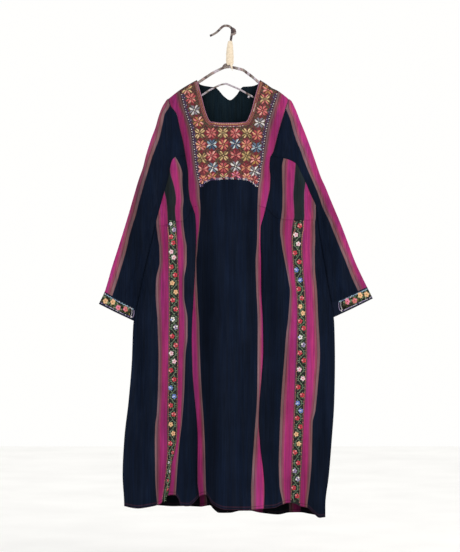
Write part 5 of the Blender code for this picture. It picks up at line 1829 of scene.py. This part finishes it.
def cuff(side):
    at, sleeve_points, reach = sleeves[side][1]
    rows = np.where(at >= at[-1] - 1.0001)[0]
    mean_length = float(np.mean(np.abs(reach[rows]).max(axis=1)))
    share = reach[rows] / np.abs(reach[rows]).max(axis=1)[:, None]
    across = np.mean(share, axis=0)[::-1] * mean_length
    along = np.linspace(0.0, CUFF_WIDTH, len(rows))
    grid = sleeve_points[rows][::-1, ::-1]
    facing = np.zeros_like(grid)
    facing[..., 1] = np.where(across > 0, -1.0, 1.0)[None]
    patch = Patch(grid, facing, across, along)
    a, b = np.meshgrid(across, np.linspace(-1.0, CUFF_WIDTH, 12))
    points = patch.points(a.ravel(), b.ravel(), np.full(a.size, 0.45)).reshape(a.shape + (3,))
    uv = np.stack([a * MM, b * MM], axis=-1)
    look = cuff_looks["ribbon"]
    flip = side == "right"
    made = grid_object(
        "cuff_" + side + "_cloth", points, uv, np.ones(a.shape, dtype=bool), not flip, look, 0.5, 1.0
    )
    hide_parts("cuff_" + side)
    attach(made, "root")

    ribbon_end = RIBBON_ENDS[side]
    rng = np.random.default_rng(21 if side == "left" else 22)
    work = Stitches(patch, 0.9)
    work.face.sign = -1.0 if side == "left" else 1.0
    full = np.linspace(-mean_length + 1.0, mean_length - 1.0, 120)
    level = lambda value: np.full_like(full, value)
    work.path(np.stack([full, level(1.2)], axis=1), 2.4, 0.8, "navy", -0.3)
    for low, colours, pitch, width in (
        (5.6, ("lavender", "silver", "lavender", "purple"), 4.4, 2.5),
        (30.6, ("steel", "sky", "sky", "silver"), 4.8, 2.7)
    ):
        place = np.arange(-mean_length + 3.0, ribbon_end + 4.0, pitch)
        names = [colours[int(rng.integers(0, len(colours)))] for _ in place]
        wave = 0.5 * np.sin(place * 0.7)
        work.threads(
            np.stack([place, low + wave], axis=1), np.stack([place + pitch * 0.92, low + wave + 0.4], axis=1),
            width, 0.7, names
        )
    flowers = list(CUFF_FLOWERS[side])
    back = [(-a0 - 3.0, b0, colour) for a0, b0, colour in CUFF_FLOWERS[side]]
    centres, angles, names = [], [], []
    for a0, b0, colour in flowers + back:
        cuff_flower(work, a0, b0, colour, rng)
        for k in range(5):
            angle = rng.uniform(0, 2 * math.pi)
            spread = 8.6 + 2.2 * rng.random()
            place = (a0 + math.cos(angle) * spread * 1.15, b0 + math.sin(angle) * spread * 0.85)
            if 8.5 < place[1] < 30.0:
                centres.append(place)
                angles.append(angle + rng.uniform(-0.7, 0.7))
                names.append(("leaf", "sage", "moss", "sage")[k % 4])
    stem = np.linspace(-mean_length + 8, ribbon_end - 5.0, 70)
    work.path(np.stack([stem, 19.5 + 3.4 * np.sin(stem * 0.145)], axis=1), 1.8, 0.6, "moss", 0.1)
    for place in np.arange(-mean_length + 12, ribbon_end - 2, 5.6):
        centres.append((place, 19.5 + rng.uniform(-9.0, 9.0)))
        angles.append(rng.uniform(0, math.pi))
        names.append(("leaf", "sage", "moss", "gold_leaf", "brown")[int(rng.integers(0, 5))])
    work.blobs(centres, 3.9, 2.0, np.array(angles), 0.6, names, 0.15, 7)
    # Turned-in end of the ribbon
    for k, offset in enumerate((0.0, 3.6, 7.0)):
        b_line = np.linspace(8.0, 30.0, 9)
        a_line = ribbon_end + offset + 2.6 * np.sin((b_line - 8.0) / 22.0 * math.pi)
        work.path(np.stack([a_line, b_line], axis=1), 1.8, 0.7, ("silver", "navy", "lavender")[k], 0.2)
    work.blobs([(ribbon_end + 4.0, 8.5)], 2.2, 1.8, 0.0, 0.9, ["white"], 0.3, 7)
    work.build("cuff_" + side + "_flowers")
    return made


def cuff_flower(work, a0, b0, colour, rng):
    """A round flower of woven petals with a deeper heart."""
    outer = {"peach": "peach", "pink": "pink", "crimson": "rose"}[colour]
    middle = {"peach": "gold", "pink": "crimson", "crimson": "red"}[colour]
    turn = rng.uniform(0, 1.2)
    angles = turn + np.arange(5) * 2 * math.pi / 5
    centres = np.stack([a0 + np.cos(angles) * 4.3, b0 + np.sin(angles) * 4.3], axis=1)
    names = [
        outer, outer, outer if colour == "peach" else "pink", outer, "rose" if colour != "peach" else "cream"
    ]
    work.blobs(centres, 4.1, 3.7, angles, 1.1, names, 0.5)
    work.blobs([(a0, b0)], 2.5, 2.3, 0.0, 0.8, [middle], 1.2)


def cuff_ribbon_look():
    nodes = Nodes("cuff_ribbon_woven", 0.8)
    nodes.shader.inputs["Specular IOR Level"].default_value = 0.05
    where = nodes.add("ShaderNodeUVMap", uv_map="weave")
    split = nodes.add("ShaderNodeSeparateXYZ")
    nodes.link(where.outputs["UV"], split.inputs["Vector"])
    edge = nodes.mapped(split.outputs["Y"], 0.0075, 0.0085, 0.0, 1.0)
    upper = nodes.mapped(split.outputs["Y"], 0.0285, 0.0295, 1.0, 0.0)
    inside = nodes.math("MULTIPLY", edge, upper)
    past_end = nodes.mapped(split.outputs["X"], 0.099, 0.102, 1.0, 0.0)
    inside = nodes.math("MULTIPLY", inside, past_end)
    blotch = nodes.mix(
        "MIX", nodes.mapped(nodes.noise((1, 1, 1), 170.0, 2.0), 0.44, 0.56, 0.0, 1.0), srgb(20, 20, 20),
        srgb(60, 60, 38)
    )
    base = nodes.mix("MIX", inside, srgb(20, 27, 44), blotch)
    nodes.link(base, nodes.shader.inputs["Base Color"])
    nodes.bump(nodes.weave(0.0005), 0.4, 0.0002)
    return nodes.material


cuff_looks = {"ribbon": cuff_ribbon_look()}
for side in ("left", "right"):
    cuff(side)


# Hanger: wire wrapped in narrow strips

ARM_RADIUS = 4.5
BAR_RADIUS = 3.0
ARM_LIFT = 7.4
ARM_LEFT = ((-11, -39), (-25, -33), (-47, -22), (-72, -6), (-91, 7))
ARM_RIGHT = ((94, 6), (78, -8), (62, -20), (47, -31), (25, -37))
HANGER_SHOULDER_LEFT = ((-97, 0), (-119, 12), (-150, 31), (-181, 55), (-190, 62))
HANGER_SHOULDER_RIGHT = ((100, 0), (119, 12), (137, 25), (156, 34), (175, 48), (197, 66))
LOWER_WIRE = (
    (-180, 75), (-164, 81), (-125, 73), (-81, 47), (-56, 31), (-25, 16), (-6, 12),
    (12, 19), (37, 30), (84, 56), (131, 80), (170, 86), (184, 80),
)
FRAME_TOP = (6, -41)
# Height above the frame's top, radius
NECK_PROFILE = ((4.7, 9.0), (10, 11.4), (16, 12.0), (30, 12.0), (46, 11.3), (60, 10.0), (72, 8.2), (80, 6.4))
HOOK_RADIUS = 3.8
HOOK = (
    (15.0, -43.3, 1.0), (17.2, -28, 1.0), (20.2, -18, 1.5), (19.2, -7, 1.25), (13.2, 0, 1.0), (6.7, 3.2, 1.0),
    (0, 3.8, 1.0),
    (-5, 3.6, 1.0), (-11, 0.6, 1.0), (-18, -6, 1.0), (-27, -15, 0.95), (-37, -22, 0.95), (-50, -28, 1.0),
)


def arm_inside(line, lift):
    out = []
    for start, end in zip(line[:-1], line[1:]):
        start, run = np.array(start, dtype=float), np.array(end, dtype=float) - np.array(start, dtype=float)
        inward = np.array([-run[1], run[0]]) / math.hypot(run[0], run[1])
        if inward[1] < 0:
            inward = -inward
        out.append(tuple(start + run * 0.5 + inward * lift))
    return out


def strip_look(name, red, green, blue):
    nodes = Nodes(name, 0.9)
    nodes.shader.inputs["Specular IOR Level"].default_value = 0.1
    tone = nodes.mapped(nodes.noise((1, 1, 1), 300.0, 3.0), 0.3, 0.7, 0.75, 1.25)
    combine = nodes.add("ShaderNodeCombineColor")
    for key in ("Red", "Green", "Blue"):
        nodes.link(tone, combine.inputs[key])
    nodes.link(
        nodes.mix("MULTIPLY", 1.0, srgb(red, green, blue), combine.outputs["Color"]),
        nodes.shader.inputs["Base Color"]
    )
    nodes.bump(nodes.weave(0.0006), 0.5, 0.0003)
    return nodes.material


STRIPS = [strip_look("strip_" + name, *colour) for name, colour in (
    ("grey", (150, 138, 132)), ("brown", (112, 94, 92)), ("rose", (176, 152, 148)), ("dark", (82, 72, 74)),
    ("lilac", (196, 184, 192)), ("pale", (222, 214, 222)),
)]


def smoothed(points, closed, step):
    """Even steps along a soft curve through the points: x, z and share of the radius."""
    points = np.array(points, dtype=float)
    if closed:
        points = np.vstack([points[-1:], points, points[:2]])
    else:
        points = np.vstack([2 * points[0] - points[1], points, 2 * points[-1] - points[-2]])
    out = []
    for k in range(1, len(points) - 2):
        p0, p1, p2, p3 = points[k - 1:k + 3]
        share = np.linspace(0, 1, 24, endpoint=False)[:, None]
        soft = 0.5 * (
            2 * p1 + (p2 - p0) * share + (2 * p0 - 5 * p1 + 4 * p2 - p3) * share ** 2
            + (3 * p1 - p0 - 3 * p2 + p3) * share ** 3
        )
        straight = p1 + (p2 - p1) * share
        out.append(0.5 * soft + 0.5 * straight)
    out.append(points[-2:-1])
    line = np.vstack(out)
    run = np.concatenate([[0.0], np.cumsum(np.hypot(*np.diff(line[:, :2], axis=0).T))])
    even = np.linspace(0, run[-1], max(int(run[-1] / step), 4) + 1)
    if closed:
        even = even[:-1]
    return np.stack([np.interp(even, run, line[:, c]) for c in range(3)], axis=1), even


def wrapped_wire(name, node, points, radius, closed, pitch, shades, seed):
    """A wire with strips wound round it; each turn steps up over the one before."""
    line, run = smoothed(points, closed, 0.95)
    count, sides = len(line), 12
    if closed:
        ahead = np.roll(line, -1, axis=0) - np.roll(line, 1, axis=0)
    else:
        ahead = np.gradient(line, axis=0)
    tangent = ahead[:, :2] / np.hypot(ahead[:, 0], ahead[:, 1])[:, None]
    turn = np.arange(sides) / sides
    phase = run[:, None] / pitch + turn[None]
    step = phase - np.floor(phase)
    rng = np.random.default_rng(seed)
    bulk = 1.0 + 0.06 * np.sin(run / 9.0 + 1.3) * np.sin(run / 23.0)
    reach = radius * line[:, 2:3] * bulk[:, None] * (0.90 + 0.13 * step)
    angle = turn * 2 * math.pi
    x = line[:, 0:1] - tangent[:, 1:2] * np.cos(angle)[None] * reach
    z = line[:, 1:2] + tangent[:, 0:1] * np.cos(angle)[None] * reach
    y = np.sin(angle)[None] * reach
    spots = np.stack([x, y, z], axis=-1).reshape(-1, 3) * MM
    names = rng.integers(0, len(shades), 4000)
    pale = np.where(rng.random(4000) < 0.45, len(shades) - 1, names)
    faces, colours = [], []
    for i in range(count if closed else count - 1):
        for j in range(sides):
            a, b = i * sides + j, i * sides + (j + 1) % sides
            c, d = ((i + 1) % count) * sides + (j + 1) % sides, ((i + 1) % count) * sides + j
            faces.append((a, b, c, d))
            strip = int(math.floor(run[i] / pitch + turn[j])) % 4000
            colours.append(int((pale if line[i, 2] < 0.8 else names)[strip]))
    if not closed:
        faces.append(tuple(range(sides))[::-1])
        faces.append(tuple(range((count - 1) * sides, count * sides)))
        colours += [colours[0], colours[-1]]
    mesh = bpy.data.meshes.new(name)
    mesh.from_pydata(spots.tolist(), [], faces)
    for shade in shades:
        mesh.materials.append(STRIPS[shade])
    mesh.polygons.foreach_set("material_index", colours)
    mesh.shade_smooth()
    made = bpy.data.objects.new(name, mesh)
    DRESS.objects.link(made)
    if node:
        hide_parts(node)
    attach(made, "root")
    return made


def hanger():
    thin = BAR_RADIUS / ARM_RADIUS
    frame = [FRAME_TOP + (1.0,)]
    frame += [(u, d, 1.0) for u, d in ARM_LEFT]
    frame += [(u, d, 1.0) for u, d in arm_inside(HANGER_SHOULDER_LEFT, ARM_LIFT)]
    frame += [(u, d, thin) for u, d in LOWER_WIRE]
    frame += [(u, d, 1.0) for u, d in arm_inside(HANGER_SHOULDER_RIGHT, ARM_LIFT)[::-1]]
    frame += [(u, d, 1.0) for u, d in ARM_RIGHT]
    points = [(u + MIDDLE_X, NECK_Z - d, share) for u, d, share in frame]
    wrapped_wire("hanger_frame_wrapped", "hanger_frame", points, ARM_RADIUS, True, 8.5, (0, 1, 2, 0, 4), 3)
    wrapped_wire("hanger_hook_wrapped", "hanger_hook", HOOK, HOOK_RADIUS, False, 7.0, (0, 1, 0, 3), 4)
    # Knots: a lump low on the hook, one on the lower wire, and the wrapping's end at the neck
    for name, knot, radius, seed, shades in (
        ("knot_wire", ((62, 51.5), (64.5, 52.5), (66.5, 55.5)), 3.9, 7, (5, 4, 5)),
        ("knot_hook", ((13.5, -162.5), (19.5, -155.5), (21.0, -147.0), (16.5, -140.5)), 4.4, 9, (0, 1, 2, 1)),
        ("knot_neck", ((-16, -40), (-9, -46.5), (-1, -47.5), (7, -42), (12, -36)), 4.6, 8, (0, 1, 2, 1)),
    ):
        shares = {3: (0.9, 1.1, 0.7), 4: (0.6, 1.1, 1.2, 0.7), 5: (0.7, 1.0, 1.0, 1.0, 0.6)}[len(knot)]
        wrapped_wire(
            name, None, [(u + MIDDLE_X, NECK_Z - d, s) for (u, d), s in zip(knot, shares)], radius, False,
            5.0, shades, seed
        )


def tape_neck():
    """Cream tape wound round the foot of the hook, with its end turned down to a point."""
    top_x, top_z = FRAME_TOP[0] + MIDDLE_X, NECK_Z - FRAME_TOP[1]
    heights = np.linspace(NECK_PROFILE[0][0], NECK_PROFILE[-1][0], 110)
    widths = Smooth(*zip(*NECK_PROFILE))(heights)
    sides = 40
    turn = np.arange(sides) / sides
    angle = turn * 2 * math.pi
    phase = heights[:, None] / 17.0 + turn[None] + 0.10 * np.sin(angle)[None]
    step = phase - np.floor(phase)
    uneven = 1 + 0.03 * np.sin(3 * angle + 1.0)[None] * np.sin(heights / 11.0)[:, None]
    reach = widths[:, None] * (0.93 + 0.075 * step) * uneven
    x = top_x + reach * np.cos(angle)[None] * 1.02 + (heights[:, None] - 42.0) * 0.02
    y = reach * np.sin(angle)[None] * 0.86
    z = top_z + heights[:, None] + 0 * angle[None]
    spots = (np.stack([x, y, z], axis=-1).reshape(-1, 3) * MM).tolist()
    faces = []
    for i in range(len(heights) - 1):
        for j in range(sides):
            k = (j + 1) % sides
            faces.append((i * sides + j, i * sides + k, (i + 1) * sides + k, (i + 1) * sides + j))
    faces.append(tuple(range(sides))[::-1])
    faces.append(tuple(range((len(heights) - 1) * sides, len(heights) * sides)))
    mesh = bpy.data.meshes.new("hanger_neck_taped")
    mesh.from_pydata(spots, [], faces)
    nodes = Nodes("tape_cream", 0.85)
    tone = nodes.mapped(nodes.noise((1, 1, 1), 120.0, 3.0), 0.3, 0.7, 0.9, 1.08)
    combine = nodes.add("ShaderNodeCombineColor")
    for key in ("Red", "Green", "Blue"):
        nodes.link(tone, combine.inputs[key])
    nodes.link(
        nodes.mix("MULTIPLY", 1.0, srgb(248, 230, 204), combine.outputs["Color"]),
        nodes.shader.inputs["Base Color"]
    )
    nodes.bump(nodes.weave(0.0005), 0.4, 0.0002)
    mesh.materials.append(nodes.material)
    mesh.shade_smooth()
    made = bpy.data.objects.new("hanger_neck_taped", mesh)
    DRESS.objects.link(made)
    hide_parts("hanger_neck")
    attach(made, "root")
    # The pointed end, in front of the wire
    rings = []
    for share in np.linspace(0, 1, 14):
        middle = np.array([15.0 + 5.0 * share, -9.0 + 0.5 * share, NECK_Z + 52.0 - 24.0 * share])
        wide = 4.6 * (1 - share) ** 0.8 + 0.3
        ring = [
            middle + np.array([math.cos(a) * wide, math.sin(a) * wide * 0.35 - 1.0, 0.0])
            for a in np.linspace(0, 2 * math.pi, 12, endpoint=False)
        ]
        rings.append(ring)
    spots = (np.array(rings).reshape(-1, 3) * MM).tolist()
    faces = [
        (i * 12 + j, (i + 1) * 12 + j, (i + 1) * 12 + (j + 1) % 12, i * 12 + (j + 1) % 12) for i in range(13)
        for j in range(12)
    ]
    faces += [tuple(range(12)), tuple(range(13 * 12, 14 * 12))[::-1]]
    mesh = bpy.data.meshes.new("tape_end")
    mesh.from_pydata(spots, [], faces)
    mesh.materials.append(nodes.material)
    mesh.shade_smooth()
    end = bpy.data.objects.new("tape_end", mesh)
    DRESS.objects.link(end)
    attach(end, "root")


hanger()
tape_neck()

# Floor, light and camera

floor_mesh = bpy.data.meshes.new("floor")
floor_mesh.from_pydata(
    [(-3, -8, -1.72), (3, -8, -1.72), (3, 5.0, -1.72), (-3, 5.0, -1.72)], [], [(0, 1, 2, 3)]
)
floor = bpy.data.objects.new("floor", floor_mesh)
bpy.context.scene.collection.objects.link(floor)
floor_look = Nodes("floor_paint", 0.9)
floor_tone = floor_look.mapped(floor_look.noise((1, 1, 1), 3.0), 0.3, 0.7, 0.97, 1.03)
floor_look.link(
    floor_look.mix("MULTIPLY", 1.0, (0.95, 0.945, 0.93, 1.0), floor_tone),
    floor_look.shader.inputs["Base Color"]
)
floor_mesh.materials.append(floor_look.material)

world = bpy.data.worlds.new("room")
bpy.context.scene.world = world
world.use_nodes = True
world.node_tree.nodes["Background"].inputs["Color"].default_value = (1.0, 0.997, 0.985, 1.0)
world.node_tree.nodes["Background"].inputs["Strength"].default_value = 1.0
bpy.context.scene.view_settings.view_transform = "Standard"


def area_light(name, place, target, size, power, colour):
    light = bpy.data.lights.new(name, "AREA")
    light.shape = "RECTANGLE"
    light.size = size[0]
    light.size_y = size[1]
    light.energy = power
    light.color = colour
    made = bpy.data.objects.new(name, light)
    made.location = place
    direction = np.array(target) - np.array(place)
    direction = direction / np.linalg.norm(direction)
    pitch = math.acos(max(-1.0, min(1.0, -direction[2])))
    made.rotation_euler = (pitch, 0.0, math.atan2(-direction[0], direction[1]))
    bpy.context.scene.collection.objects.link(made)
    return made


area_light("key", (1.9, -2.0, 0.5), (0.0, 0.0, -0.8), (1.2, 1.6), 28.0, (1.0, 0.98, 0.95))
area_light("fill", (-2.0, -2.0, -0.4), (0.0, 0.0, -0.8), (1.6, 1.6), 10.0, (0.94, 0.97, 1.0))

camera_data = bpy.data.cameras.new("camera")
camera_data.lens = 135.0
camera_data.sensor_width = 36.0
camera = bpy.data.objects.new("camera", camera_data)
camera.location = (0.0125, -6.4575, -0.777)
camera.rotation_euler = (math.radians(90), 0, 0)
bpy.context.scene.collection.objects.link(camera)
bpy.context.scene.camera = camera
